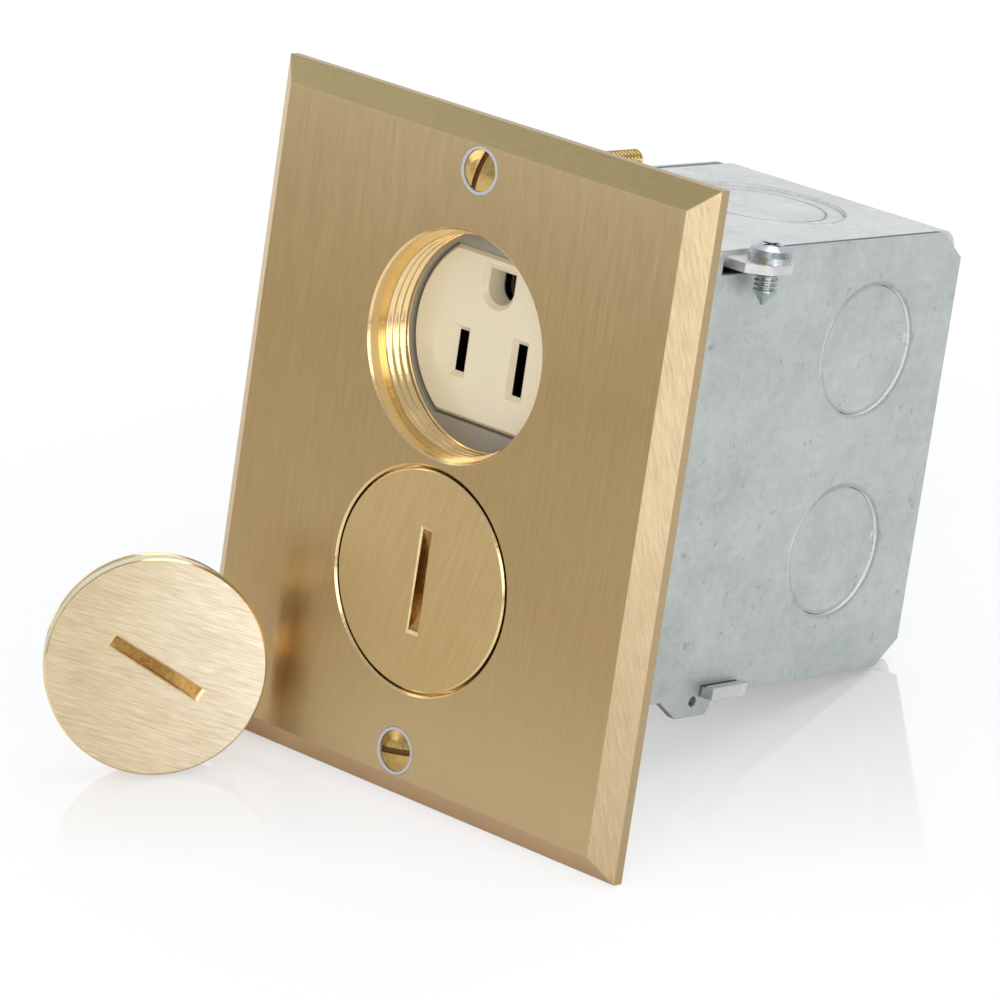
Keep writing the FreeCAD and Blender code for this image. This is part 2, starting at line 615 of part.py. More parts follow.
def contact_strip(name, side):
    """Terminal plate on one flank, with a leaf pair behind each blade slot."""
    plate_in, plate_out = terminal_x * side, (terminal_x + s["terminal_plate"]) * side
    half_y = s["terminal_recess_width"] / 2 - s["soft_clearance"]
    half_z = s["terminal_recess_height"] / 2 - s["soft_clearance"]
    strip = block((plate_in, plate_out), (terminal_y - half_y, terminal_y + half_y),
                  (-half_z, half_z))
    notch, half_notch = s["terminal_notch_depth"], s["terminal_notch_height"] / 2
    for y in (terminal_y - half_y, terminal_y + half_y):
        strip = strip.cut(block((plate_in, plate_out + side), (y - notch, y + notch),
                                (-half_notch, half_notch)))
    for sign in (1, -1):
        hole = turned([(0, 0), (s["terminal_shank_radius"] + s["fit_clearance"], 0),
                       (s["terminal_shank_radius"] + s["fit_clearance"], 4), (0, 4)], "x",
                      (terminal_x * side - 2, terminal_y, half_terminal * sign))
        strip = strip.cut(hole)
        z = half_pitch * sign - s["blade_line_drop"]
        centre = half_blade * side
        half_gap = s["contact_gap"] / 2
        half_leaf = s["contact_height"] / 2
        for way in (1, -1):
            inner = centre + half_gap * way
            strip = strip.fuse(block((inner, inner + s["contact_leaf"] * way),
                                     (strap_front + s["contact_setback"], web_y),
                                     (z - half_leaf, z + half_leaf)))
        foot = centre - half_gap * side - s["contact_leaf"] * side
        half_web = s["contact_web"] / 2
        strip = strip.fuse(block((foot, plate_out), (web_y, web_y + s["contact_leaf"]),
                                 (z - half_web, z + half_web)))
        strip = strip.fuse(block((foot, centre + (half_gap + s["contact_leaf"]) * side),
                                 (web_y, web_y + s["contact_leaf"]),
                                 (z - half_leaf, z + half_leaf)))
    return solid_node(name, [strip.removeSplitter()])


contact_strip("line_contacts", -1)
contact_strip("neutral_contacts", 1)

tubes = []
for sign in (1, -1):
    inner = s["ground_radius"] - 0.1
    tube = turned([(inner, strap_rear), (s["ground_tube_radius"], strap_rear),
                   (s["ground_tube_radius"], strap_rear + s["ground_tube_length"]),
                   (inner, strap_rear + s["ground_tube_length"])],
                  "y", (0, 0, half_pitch * sign + s["ground_rise"]))
    half_split = s["ground_tube_split"] / 2
    split = block((-half_split, half_split), (strap_rear + s["ground_tube_web"], base_rear),
                  (-s["ground_tube_radius"] * 2, s["ground_tube_radius"] * 2))
    split.translate(V(0, 0, number(half_pitch * sign + s["ground_rise"])))
    tubes.append(tube.cut(split))
solid_node("ground_contacts", tubes)


def terminal_screw(head_radius, head, shank, length):
    """A slotted binding screw along +Y with the underside of its head at Y = 0."""
    edge = number(s["small_edge"])
    half_slot_width = number(s["small_slot_width"]) / 2
    screw = turned([(0, -head), (head_radius - edge, -head), (head_radius, -head + edge),
                    (head_radius, 0), (shank, 0), (shank, length - edge), (shank - edge, length),
                    (0, length)])
    slot = block((-head_radius - 1, head_radius + 1), (-head - 1, -head + s["small_slot_depth"].value),
                 (-half_slot_width, half_slot_width))
    return screw.cut(slot)


for name, side in (("line_screws", -1), ("neutral_screws", 1)):
    pair = []
    for sign in (1, -1):
        screw = terminal_screw(number(s["terminal_screw_radius"]),
                               number(s["terminal_screw_head"]),
                               number(s["terminal_shank_radius"]),
                               number(s["terminal_shank_length"]))
        screw.rotate(V(0, 0, 0), V(0, 0, 1), 90 * side)
        screw.translate(V(number(terminal_x + s["terminal_plate"]) * side, number(terminal_y),
                          number(half_terminal * sign)))
        pair.append(screw)
    solid_node(name, pair)

tab_top = ground_screw_z + s["soft_clearance"] + s["strap_thickness"]
earth = terminal_screw(number(s["terminal_screw_radius"]), number(s["ground_screw_head"]),
                       number(s["terminal_shank_radius"]),
                       number(s["terminal_shank_length"]) - 0.5)
earth.rotate(V(0, 0, 0), V(1, 0, 0), -90)
earth.translate(V(number(s["ground_screw_x"]), number(s["ground_screw_y"]), number(tab_top)))
solid_node("ground_screw", [earth])

bolts = []
for side in (1, -1):
    bolt = terminal_screw(number(s["rivet_head_radius"]), number(s["rivet_head"]),
                          number(s["rivet_radius"]),
                          number(base_rear - shoulder - s["rivet_cover"]) - 0.3)
    bolt.rotate(V(0, 0, 0), V(0, 0, 1), 180)
    bolt.translate(V(number(rivet_x) * side, number(base_rear), 0))
    bolts.append(bolt)
solid_node("assembly_screws", bolts)

# ---------------------------------------------------------------- mounting strap

strap = new_body("mounting_strap")
pad(strap, "XZ_Plane", -strap_rear, s["strap_thickness"],
    (rectangle, ZERO, ZERO, s["strap_width"], half_strap * 2))
for sign in (1, -1):
    inner = ground_screw_z + s["soft_clearance"]
    ear = half_strap - inner
    corner = s["strap_corner"]
    wide = s["strap_ear_width"] / 2
    pad(strap, "XZ_Plane", -strap_rear, s["strap_thickness"], (polygon, [
        (-wide, inner * sign), (wide, inner * sign), (wide, (half_strap - corner) * sign),
        (wide - corner, half_strap * sign), (corner - wide, half_strap * sign),
        (-wide, (half_strap - corner) * sign)]))
pad(strap, "XY_Plane", ground_screw_z + s["soft_clearance"], s["strap_thickness"],
    (rectangle, s["ground_screw_x"], (strap_front + s["ground_screw_y"] + s["ground_tab_end"]) / 2,
     s["ground_tab_width"], s["ground_screw_y"] - strap_front + s["ground_tab_end"]))
holes = [(circle, ZERO, ZERO, s["strap_centre_hole"])]
for sign in (1, -1):
    holes.append((circle, ZERO, device_screw_z * sign, s["device_hole_radius"]))
    holes.append((circle, ZERO, half_pitch * sign + s["ground_rise"],
                  s["ground_radius"] + s["ground_hole_clearance"]))
pocket(strap, "XZ_Plane", -strap_front, s["strap_thickness"], *holes)
pocket(strap, "XY_Plane", tab_top, s["strap_thickness"],
       (circle, s["ground_screw_x"], s["ground_screw_y"],
        s["terminal_shank_radius"] + s["fit_clearance"]))

device = []
for sign in (1, -1):
    screw = terminal_screw(number(s["device_head_radius"]), number(s["device_head_height"]),
                           number(s["device_screw_radius"]), number(s["device_screw_length"]))
    screw.translate(V(0, number(strap_front), number(device_screw_z) * sign))
    device.append(screw)
solid_node("device_screws", device)

# ---------------------------------------------------------------- box

wrap = new_body("box_wrap")
y0, y1, top, bottom, wall = box_front, box_rear, box_top, box_bottom, s["wall"]
cy, cz = s["side_chamfer_y"], s["side_chamfer_z"]
pad(wrap, "YZ_Plane", ZERO, s["box_width"] - wall * 2 - s["seam"] * 2, (polygon, [
    (y0, top), (y1, top), (y1, bottom), (y0, bottom), (y0, bottom + wall),
    (y1 - wall, bottom + wall), (y1 - wall, top - wall), (y0, top - wall)]), middle=True)


def bend_edges(y, z_levels):
    """Edges across the box at depth y and at one of the levels in Z."""
    return edges_where(wrap.Shape, lambda e: near(e.BoundBox.YMin, number(y))
                       and near(e.BoundBox.YLength, 0) and near(e.BoundBox.ZLength, 0)
                       and any(near(e.BoundBox.ZMin, number(z)) for z in z_levels))


dress(wrap, "Fillet", bend_edges(y1, (top, bottom)), "Radius", s["bend_radius"] + wall)
dress(wrap, "Fillet", bend_edges(y1 - wall, (top - wall, bottom + wall)), "Radius",
      s["bend_radius"])
half_ear = s["box_ear_width"] / 2
reach, corner = cover_screw_z + s["box_ear_end"], s["box_ear_corner"]
for edge, inset, sign in ((top, -wall, 1), (bottom, wall, -1)):
    pad(wrap, "XZ_Plane", -(y0 + wall), wall, (polygon, [
        (-half_ear, edge + inset), (half_ear, edge + inset),
        (half_ear, (reach - corner) * sign), (half_ear - corner, reach * sign),
        (corner - half_ear, reach * sign), (-half_ear, (reach - corner) * sign)]))
taps = []
for sign in (1, -1):
    taps.append((circle, ZERO, device_screw_z * sign,
                 s["device_screw_radius"] + s["fit_clearance"]))
    taps.append((circle, ZERO, cover_screw_z * sign,
                 s["cover_screw_radius"] + s["fit_clearance"]))
pocket(wrap, "XZ_Plane", -y0, wall, *taps)
# the tabs that take the side screws, and the hooks below
tab_z = top - s["tab_drop"] - wall
tab_out = half_box + s["tab_reach"]
tab_in = half_box - wall * 3
hook_z = bottom
hook_out = half_box + s["hook_reach"]
tab_y = box_front + s["tab_setback"]
tab_low, tab_high = tab_y - s["tab_length"] / 2, tab_y + s["tab_length"] / 2
hook_front = box_front + s["hook_setback"]
hook_y = hook_front + s["hook_length"] / 2
nose = s["tab_corner"]
for side in (1, -1):
    pad(wrap, "XY_Plane", tab_z, wall, (polygon, [
        (tab_in * side, tab_low), (tab_out * side - nose * side, tab_low),
        (tab_out * side, tab_low + nose), (tab_out * side, tab_high - nose),
        (tab_out * side - nose * side, tab_high), (tab_in * side, tab_high)]))
    pad(wrap, "XY_Plane", hook_z, wall, (rectangle, (tab_in + hook_out) / 2 * side, hook_y,
                                         hook_out - tab_in, s["hook_length"]))
    lip_x = (hook_out - wall / 2) * side
    pad(wrap, "XY_Plane", hook_z, s["hook_lip"], (polygon, [
        (lip_x - wall / 2, hook_front), (lip_x + wall / 2, hook_front),
        (lip_x + wall / 2, hook_front + s["hook_length"]),
        (lip_x - wall / 2, hook_front + s["hook_length"])]))
side_knockout_y = box_rear - s["side_knockout_setback"]
top_knockout_y = box_rear - s["top_knockout_setback"]
screw_x = half_box + s["side_screw_out"]
pocket(wrap, "XY_Plane", tab_z + wall, wall,
       *[(circle, screw_x * side, tab_y, s["side_screw_radius"] + s["fit_clearance"])
         for side in (1, -1)])
pocket(wrap, "XY_Plane", top, wall,
       (circle, ZERO, top_knockout_y, s["three_quarter_knockout"]))
pocket(wrap, "XY_Plane", bottom, wall,
       (circle, ZERO, top_knockout_y, s["three_quarter_knockout"]), reverse=True)
rear_holes = [(circle, ZERO, box_middle, s["earth_hole_radius"])]
for sign in (1, -1):
    rear_holes.append((circle, ZERO, box_middle + s["rear_knockout_pitch"] / 2 * sign,
                       s["half_inch_knockout"]))
    rear_holes.append((circle, s["mount_hole_pitch"] / 2 * sign, box_middle,
                       s["mount_hole_radius"]))
pocket(wrap, "XZ_Plane", -(y1 - wall), wall, *rear_holes)

knockout_z = box_middle + s["side_knockout_shift"]
for name, inner in (("right_side", half_box - wall), ("left_side", -half_box)):
    body = new_body(name)
    slot_gap = s["soft_clearance"]
    notch_z = top - s["notch_depth"]
    notch_front, notch_rear = tab_low - s["notch_front_gap"], tab_high + s["notch_rear_gap"]
    lobe_front = box_front + s["lobe_setback"]
    lobe_rear = lobe_front + s["lobe_length"]
    drop = bottom - s["lobe_drop"]
    pad(body, "YZ_Plane", inner, wall, (polygon, [
        (y0, bottom), (lobe_front, bottom), (lobe_front + s["lobe_slope"], drop),
        (lobe_rear - 1, drop), (lobe_rear, drop + 1), (lobe_rear, bottom),
        (y1 - cy, bottom), (y1, bottom + cz), (y1, top - cz), (y1 - cy, top),
        (notch_rear, top), (notch_rear, notch_z), (notch_front, notch_z),
        (notch_front, top), (y0, top)]))
    pocket(body, "YZ_Plane", inner + wall, wall,
           (rectangle, hook_y, bottom + (wall + slot_gap) / 2,
            s["hook_length"] + slot_gap * 2, wall + slot_gap))
    pocket(body, "YZ_Plane", inner + wall, wall,
           (circle, lobe_front + s["lobe_hole_setback"], drop + s["lobe_hole_rise"], s["lobe_hole_radius"]))
    pocket(body, "YZ_Plane", inner + wall, wall,
           *[(circle, side_knockout_y, knockout_z + s["side_knockout_pitch"] / 2 * sign,
              s["half_inch_knockout"]) for sign in (1, -1)])

# ---------------------------------------------------------------- knockouts and side screws


def knockout(outer, inner, axis, sink):
    """A disc or ring left in its hole by one tie; the wall's outer face is at 0."""
    t, half_tie = number(wall), number(s["knockout_tie_width"]) / 2
    slug = turned([(inner, -t), (outer - s["knockout_gap"], -t), (outer - s["knockout_gap"], 0),
                   (inner, 0)])
    tie = block((outer - s["knockout_tie_root"], outer), (-t, sink / 2), (-half_tie, half_tie))
    slug = slug.fuse(tie.common(turned([(0, -t), (outer, -t), (outer, 0), (0, 0)])))
    slug.translate(V(0, -sink, 0))
    if axis == "x":
        slug.rotate(V(0, 0, 0), V(0, 0, 1), -90)
        slug.rotate(V(0, 0, 0), V(1, 0, 0), 180)
    if axis == "z":
        slug.rotate(V(0, 0, 0), V(1, 0, 0), 90)
    return slug


sink = number(s["knockout_sink"])
side_slugs = []
for side in (1, -1):
    for sign in (1, -1):
        slug = knockout(s["half_inch_knockout"], 0, "x", sink)
        if side < 0:
            slug = slug.mirror(V(0, 0, 0), V(1, 0, 0))
        slug.translate(V(number(half_box) * side, number(side_knockout_y),
                         number(knockout_z + s["side_knockout_pitch"] / 2 * sign)))
        side_slugs.append(slug)
solid_node("side_knockouts", side_slugs)

for name, level, flip in (("top_knockouts", top, False), ("bottom_knockouts", bottom, True)):
    parts = [knockout(s["three_quarter_knockout"], number(s["half_inch_knockout"]), "z", sink),
             knockout(s["half_inch_knockout"], 0, "z", sink)]
    placed = []
    for slug in parts:
        if flip:
            slug = slug.mirror(V(0, 0, 0), V(0, 0, 1))
        slug.translate(V(0, number(top_knockout_y), number(level)))
        placed.append(slug)
    solid_node(name, placed)

rear_slugs = []
for sign in (1, -1):
    slug = knockout(s["half_inch_knockout"], 0, "y", sink)
    slug.translate(V(0, number(box_rear),
                     number(box_middle + s["rear_knockout_pitch"] / 2 * sign)))
    rear_slugs.append(slug)
solid_node("rear_knockouts", rear_slugs)

pair = []
for side in (1, -1):
    r, head = number(s["side_screw_head_radius"]), number(s["side_screw_head"])
    length, point = number(s["side_screw_length"]), number(s["side_screw_point"])
    shank = number(s["side_screw_radius"])
    screw = turned([(0, head), (r * 0.55, head), (r * 0.9, head * 0.75), (r, head * 0.4),
                    (r, 0), (shank, 0), (shank, point - length), (0.3, -length), (0, -length)])
    for turn in (0, 90):
        cross = block((-r * 0.5, r * 0.5), (head - 1.0, head + 1), (-0.4, 0.4))
        cross.rotate(V(0, 0, 0), V(0, 1, 0), turn)
        screw = screw.cut(cross)
    screw.rotate(V(0, 0, 0), V(1, 0, 0), 90)
    screw.translate(V(number(screw_x) * side, number(tab_y), number(tab_z + wall)))
    pair.append(screw)
solid_node("side_screws", pair)

# ---------------------------------------------------------------- checks and export

doc.recompute()
nodes = [o for o in doc.Objects if o.TypeId == "PartDesign::Body" or o.TypeId == "Part::Feature"]
for thing in doc.Objects:
    if "Invalid" in thing.State or "Error" in thing.State:
        raise RuntimeError("%s is %s" % (thing.Name, thing.State))
for node in nodes:
    if node.Shape.isNull() or not node.Shape.isValid():
        raise RuntimeError("%s has no valid shape" % node.Label)

os.makedirs("parts", exist_ok=True)
for node in nodes:
    node.Shape.exportStep("parts/%s.step" % node.Label)
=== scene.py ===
"""Looks of the floor socket box. Lengths are in metres in the part's frame: X across the plate,
Z up its long side, Y from the plate into the box, with the plate's rear face at Y = 0."""
import json
import math
from collections import namedtuple

import bmesh
import bpy
from mathutils import Matrix, Vector

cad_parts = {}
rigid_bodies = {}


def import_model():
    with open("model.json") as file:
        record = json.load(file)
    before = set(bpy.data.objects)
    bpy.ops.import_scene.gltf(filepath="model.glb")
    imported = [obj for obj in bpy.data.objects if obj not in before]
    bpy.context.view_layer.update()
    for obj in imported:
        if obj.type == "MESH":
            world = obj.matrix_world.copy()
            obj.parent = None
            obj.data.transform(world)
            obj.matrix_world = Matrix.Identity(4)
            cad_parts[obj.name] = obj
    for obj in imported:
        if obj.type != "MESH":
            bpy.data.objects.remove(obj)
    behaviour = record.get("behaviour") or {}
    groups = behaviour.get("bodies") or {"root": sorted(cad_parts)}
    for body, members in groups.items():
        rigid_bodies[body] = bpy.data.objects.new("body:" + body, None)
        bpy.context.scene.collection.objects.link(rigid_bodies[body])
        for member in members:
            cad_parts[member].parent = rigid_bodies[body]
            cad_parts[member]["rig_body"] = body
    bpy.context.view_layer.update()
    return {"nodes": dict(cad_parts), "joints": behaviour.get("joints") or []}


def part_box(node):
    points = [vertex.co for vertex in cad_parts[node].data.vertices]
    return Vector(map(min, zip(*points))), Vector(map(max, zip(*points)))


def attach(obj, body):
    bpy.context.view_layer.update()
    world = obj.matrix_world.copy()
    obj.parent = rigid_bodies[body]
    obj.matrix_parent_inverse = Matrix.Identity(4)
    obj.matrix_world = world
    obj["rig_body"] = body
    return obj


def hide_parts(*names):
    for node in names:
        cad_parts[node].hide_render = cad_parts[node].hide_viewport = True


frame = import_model()
nodes = frame["nodes"]
MM = 0.001
# Two places this close are taken as one.
NEAR = 0.03 * MM
UP, ACROSS, DEEP = (0, 0, 1), (1, 0, 0), (0, 1, 0)


def corners(box):
    """A box's low and high corners as vectors."""
    return [Vector(corner) for corner in box]


def slanted(level, rise, angle):
    """A direction at an angle in degrees to level, in the plane of level and rise."""
    return (Vector(level) * math.cos(math.radians(angle))
            + Vector(rise) * math.sin(math.radians(angle)))


# ---------------------------------------------------------------- places and sizes

PLATE_LOW, PLATE_HIGH = corners(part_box("cover_plate"))
CAP_LOW, CAP_HIGH = corners(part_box("lower_cap"))
PLATE_FRONT = PLATE_LOW.y
COLLAR_REAR = PLATE_HIGH.y
BEVEL = 3.9 * MM
# Both openings lie on the plate's centre line, as far above its middle as below.
OPENING_Z = -(CAP_LOW.z + CAP_HIGH.z) / 2

# An opening's thread starts behind the land in which a cap's head lies, a cap's under its head.
BORE_RADIUS = 17.8 * MM
LAND_DEPTH = 3.1 * MM
PLUG_RADIUS = 17.75 * MM
PLUG_START = 2.5 * MM
PLUG_END = 6.3 * MM
THREAD_DEPTH = 0.62 * MM
THREAD_PITCH = 25.4 * MM / 16
SCREW_PITCH = 25.4 * MM / 32

# A cap's coin slot
COIN_WIDTH = 2.0 * MM
COIN_LENGTH = 17.4 * MM
COIN_DEPTH = 1.9 * MM
COIN_EDGE = 0.3 * MM

# The loose cap's axis runs from its face to its thread; level and rise lie in its face.
roll = next(joint for joint in frame["joints"] if joint["name"] == "upper_cap_roll")
LOOSE_AXIS = -Vector(roll["axis"]).normalized()
LOOSE_LEVEL = LOOSE_AXIS.cross(Vector(UP)).normalized()
LOOSE_RISE = LOOSE_LEVEL.cross(LOOSE_AXIS)
LOOSE_SLOT = slanted(LOOSE_LEVEL, LOOSE_RISE, -27)
LOOSE_MIDDLE = LOOSE_LEVEL.dot(Vector(roll["pos_m"]))

# Brush lines: the caps' lie at a slant to their slots, and each bevel was sanded by itself.
CAP_LINES = slanted(ACROSS, UP, 74)
LOOSE_LINES = slanted(LOOSE_LEVEL, LOOSE_RISE, -12)
TOP_LINES, LOW_LINES, RIGHT_LINES = (0.93, 0.0, 0.36), (0.95, 0.0, 0.3), (-0.22, -0.2, 0.95)


# ---------------------------------------------------------------- threads and replaced pieces


def local_frame(origin, axis, across):
    """Columns: across, the axis along which a thread runs, and their cross product."""
    y = Vector(axis).normalized()
    x = (Vector(across) - y * Vector(across).dot(y)).normalized()
    z = x.cross(y)
    place = Matrix((x, y, z)).transposed().to_4x4()
    place.translation = Vector(origin)
    return place


def dressed(node, name):
    """A copy of a CAD node, which it replaces, and its mesh opened for editing."""
    source = nodes[node]
    mesh = source.data.copy()
    mesh.name = name
    mesh.materials.clear()
    piece = bpy.data.objects.new(name, mesh)
    bpy.context.collection.objects.link(piece)
    piece.matrix_world = source.matrix_world.copy()
    bm = bmesh.new()
    bm.from_mesh(mesh)
    return piece, bm


def stand_for(piece, node):
    """The piece moves with the CAD node's body and replaces that node."""
    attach(piece, nodes[node]["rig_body"])
    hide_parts(node)


def open_wall(bm, place, radius, start, end):
    """Deletes the plain cylinder wall that a thread takes the place of."""
    inverse = place.inverted()
    wall = []
    for face in bm.faces:
        points = [inverse @ v.co for v in face.verts]
        on_wall = all(abs(math.hypot(p.x, p.z) - radius) < NEAR for p in points)
        within = all(start - NEAR < p.y < end + NEAR for p in points)
        spans = max(p.y for p in points) - min(p.y for p in points) > NEAR
        if on_wall and within and spans:
            wall.append(face)
    if not wall:
        raise RuntimeError("no plain wall where a thread goes")
    bmesh.ops.delete(bm, geom=wall, context="FACES")


def thread(bm, place, radius, start, end, pitch, depth, inward, around=144, per_turn=14,
           material=0):
    """A right-hand thread on a cylinder. It runs out flush with the wall at both ends. Inward
    is 1 for a screw, whose roots lie inside the wall, and -1 for a nut."""
    rows = max(4, int(round((end - start) / pitch * per_turn)))
    run_out = 0.45 * pitch
    # the crest's and the flank's shares of half a pitch; the root takes the rest
    crest, flank = 0.12, 0.70
    grid = []
    for row in range(rows + 1):
        along = start + (end - start) * row / rows
        fade = min(1.0, (along - start) / run_out, (end - along) / run_out)
        ring = []
        for step in range(around):
            angle = 2 * math.pi * step / around
            phase = ((along - start) / pitch + angle / (2 * math.pi)) % 1.0
            dip = min(1.0, max(0.0, (abs(phase - 0.5) * 2 - crest) / flank))
            reach = radius - inward * depth * dip * max(0.0, fade)
            ring.append(bm.verts.new(place @ Vector((reach * math.cos(angle), along,
                                                     reach * math.sin(angle)))))
        grid.append(ring)
    for below, above in zip(grid, grid[1:]):
        for step in range(around):
            after = (step + 1) % around
            points = (below[step], below[after], above[after], above[step])
            face = bm.faces.new(points if inward > 0 else reversed(points))
            face.smooth = True
            face.material_index = material


def finish_mesh(piece, bm, materials, brush=None):
    """Writes the mesh back. Brush holds each material's brush direction, for a UV map whose
    U runs across the brush lines."""
    if brush:
        layer = bm.loops.layers.uv.new("brush")
        for face in bm.faces:
            along = Vector(brush[face.material_index])
            along = along - face.normal * along.dot(face.normal)
            if along.length < 0.05:
                along = face.normal.orthogonal()
            along.normalize()
            across = along.cross(face.normal)
            for loop in face.loops:
                loop[layer].uv = (loop.vert.co.dot(across) * 10, loop.vert.co.dot(along) * 10)
    bm.to_mesh(piece.data)
    bm.free()
    for material in materials:
        piece.data.materials.append(material)


# ---------------------------------------------------------------- material helpers

def linear(shade):
    """An sRGB triple, 0 to 255, as linear values."""
    out = []
    for value in shade:
        value /= 255.0
        out.append(value / 12.92 if value <= 0.04045 else ((value + 0.055) / 1.055) ** 2.4)
    return tuple(out)


class Graph:
    """A tree of shader nodes. Most methods give back an output for the next one to take."""

    def __init__(self, tree):
        self.tree = tree
        tree.nodes.clear()

    def add(self, kind, **settings):
        """A new node with its settings."""
        node = self.tree.nodes.new(kind)
        for name, value in settings.items():
            setattr(node, name, value)
        return node

    def feed(self, node, name, value):
        """Links an output to an input, or sets the input to a number, a colour or a vector."""
        socket = node.inputs[name]
        if isinstance(value, bpy.types.NodeSocket):
            self.tree.links.new(value, socket)
        elif socket.type == "RGBA":
            socket.default_value = (*value, 1.0)
        else:
            socket.default_value = value

    def made(self, kind, inputs, output=0, **settings):
        """An output of a new node with its inputs and settings."""
        node = self.add(kind, **settings)
        for name, value in inputs.items():
            self.feed(node, name, value)
        return node.outputs[output]

    def noise(self, vector, detail=3.0, rough=0.5, output="Fac"):
        """Noise over coordinates that are scaled already."""
        return self.made("ShaderNodeTexNoise", {"Vector": vector, "Scale": 1.0,
                                                "Detail": detail, "Roughness": rough}, output)

    def remap(self, value, low, high, to_low=0.0, to_high=1.0):
        """A value taken from the range low to high into another, and kept within it."""
        return self.made("ShaderNodeMapRange", {"Value": value, "From Min": low, "From Max": high,
                                                "To Min": to_low, "To Max": to_high})

    def ramp(self, value, dark, light, low=0.0, high=1.0):
        """A colour from dark, at low, to light, at high."""
        node = self.add("ShaderNodeValToRGB")
        for element, place, colour in zip(node.color_ramp.elements, (low, high), (dark, light)):
            element.position = place
            element.color = (*colour, 1.0)
        self.feed(node, "Fac", value)
        return node.outputs["Color"]

    def mix(self, kind, share, first, second):
        """Two colours mixed, or the first multiplied by the second, by a share."""
        return self.made("ShaderNodeMix", {0: share, 6: first, 7: second}, 2,
                         data_type="RGBA", blend_type=kind)

    def blend(self, share, first, second):
        """Two shaders blended; the share is the second's."""
        return self.made("ShaderNodeMixShader", {0: share, 1: first, 2: second})

    def math(self, operation, *values):
        """Arithmetic on numbers and outputs."""
        return self.made("ShaderNodeMath", dict(enumerate(values)), operation=operation)

    def plus(self, base, extra, gain):
        """base + extra * gain"""
        return self.math("MULTIPLY_ADD", extra, gain, base)

    def gap(self, value, middle):
        """How far a value is from a middle, above or below."""
        return self.math("ABSOLUTE", self.math("SUBTRACT", value, middle))

    def distance(self, first, second, centre):
        """How far a point with two coordinates is from a centre."""
        off = self.math("SUBTRACT", first, centre[0])
        off_two = self.math("SUBTRACT", second, centre[1])
        squared = self.math("MULTIPLY", off, off)
        return self.math("SQRT", self.math("MULTIPLY_ADD", off_two, off_two, squared))

    def strongest(self, marks):
        """Several marks as one, each point as strong as its strongest mark."""
        most = marks[0]
        for mark in marks[1:]:
            most = self.math("MAXIMUM", most, mark)
        return most

    def dot(self, vector, direction):
        """How far a vector reaches along a direction."""
        return self.made("ShaderNodeVectorMath", {0: vector, 1: tuple(direction)}, "Value",
                         operation="DOT_PRODUCT")

    def parts(self, vector):
        """A vector's X, Y and Z."""
        node = self.add("ShaderNodeSeparateXYZ")
        self.feed(node, "Vector", vector)
        return {axis: node.outputs[axis] for axis in "XYZ"}


class Look(Graph):
    """A material with one main shader and the object's own coordinates."""

    def __init__(self, name):
        self.material = bpy.data.materials.new(name)
        self.material.use_nodes = True
        super().__init__(self.material.node_tree)
        self.output = self.add("ShaderNodeOutputMaterial")
        self.shader = self.add("ShaderNodeBsdfPrincipled")
        self.feed(self.output, "Surface", self.shader.outputs["BSDF"])
        self.place = self.add("ShaderNodeTexCoord").outputs["Object"]

    def set(self, **values):
        """Feeds the main shader; an underscore stands for a space."""
        for name, value in values.items():
            self.feed(self.shader, name.replace("_", " "), value)

    def spread(self, scale, along=None):
        """Coordinates scaled for noise; along is Y's scale where it differs."""
        return self.made("ShaderNodeMapping", {"Vector": self.place,
                                               "Scale": (scale, along or scale, scale)})

    def turned(self, along, density, length):
        """Coordinates squeezed so that noise becomes lines along one direction."""
        line_up = Vector(UP).rotation_difference(Vector(along).normalized())
        first = self.made("ShaderNodeMapping",
                          {"Vector": self.place, "Rotation": line_up.to_euler()},
                          vector_type="TEXTURE")
        return self.made("ShaderNodeMapping", {"Vector": first,
                                               "Scale": (density, density, length)})

    def rounded(self, radius):
        """Normals that round the edges over a radius."""
        return self.made("ShaderNodeBevel", {"Radius": radius}, samples=4)

    def bump(self, height, distance, after=None):
        """Normals of a relief, on top of others where they are given."""
        inputs = {"Height": height, "Distance": distance, "Strength": 1.0}
        if after:
            inputs["Normal"] = after
        return self.made("ShaderNodeBump", inputs)


def brushed(name, dark, light, along, rough=(0.28, 0.40), contrast=1.0, anisotropy=0.5,
            density=3600.0, length=130.0, rim=0.12 * MM, pale=None, fade=None):
    """Brass brushed along one direction: hair lines, fainter streaks and a slow drift of tone,
    with the light caught by edges rounded over rim. Pale is a painted sheen: a lighter tone
    towards both ends of the plate. Fade is a direction, the distances along it between which
    the tone darkens as painted shade, and its tint."""
    look = Look(name)
    hair = look.noise(look.turned(along, density, length), rough=0.65)
    streak = look.noise(look.turned(along, density * 0.35, length * 0.3), detail=2.0)
    lines = look.plus(hair, streak, 0.22)
    tone = look.plus(lines, look.noise(look.spread(38.0)), 0.3)
    middle, half = 0.76, 0.5 / contrast
    shade = look.ramp(look.remap(tone, middle - half, middle + half), linear(dark), linear(light))
    # Painted sheen: pale lightens the plate's tone towards its top and bottom.
    if pale:
        height = look.parts(look.place)["Z"]
        squared = look.math("MULTIPLY", height, height)
        sheen_start, sheen_full = 17.32 * MM, 56.57 * MM
        specks_and_end_sheen = look.remap(squared, sheen_start ** 2, sheen_full ** 2, 0.0, 0.55)
        shade = look.mix("MIX", specks_and_end_sheen, shade, linear(pale))
    # Painted shade: fade darkens the tone along a direction.
    if fade:
        direction, start, end, tint = fade
        share = look.remap(look.dot(look.place, direction), start, end)
        shade = look.mix("MULTIPLY", share, shade, tint)
    tangent = look.add("ShaderNodeTangent", direction_type="UV_MAP", uv_map="brush")
    look.set(Base_Color=shade, Metallic=1.0, Anisotropic=anisotropy,
             Roughness=look.remap(lines, 0.4, 0.82, *rough),
             Normal=look.bump(lines, 0.0012 * MM, look.rounded(rim)),
             Tangent=tangent.outputs["Tangent"])
    return look.material


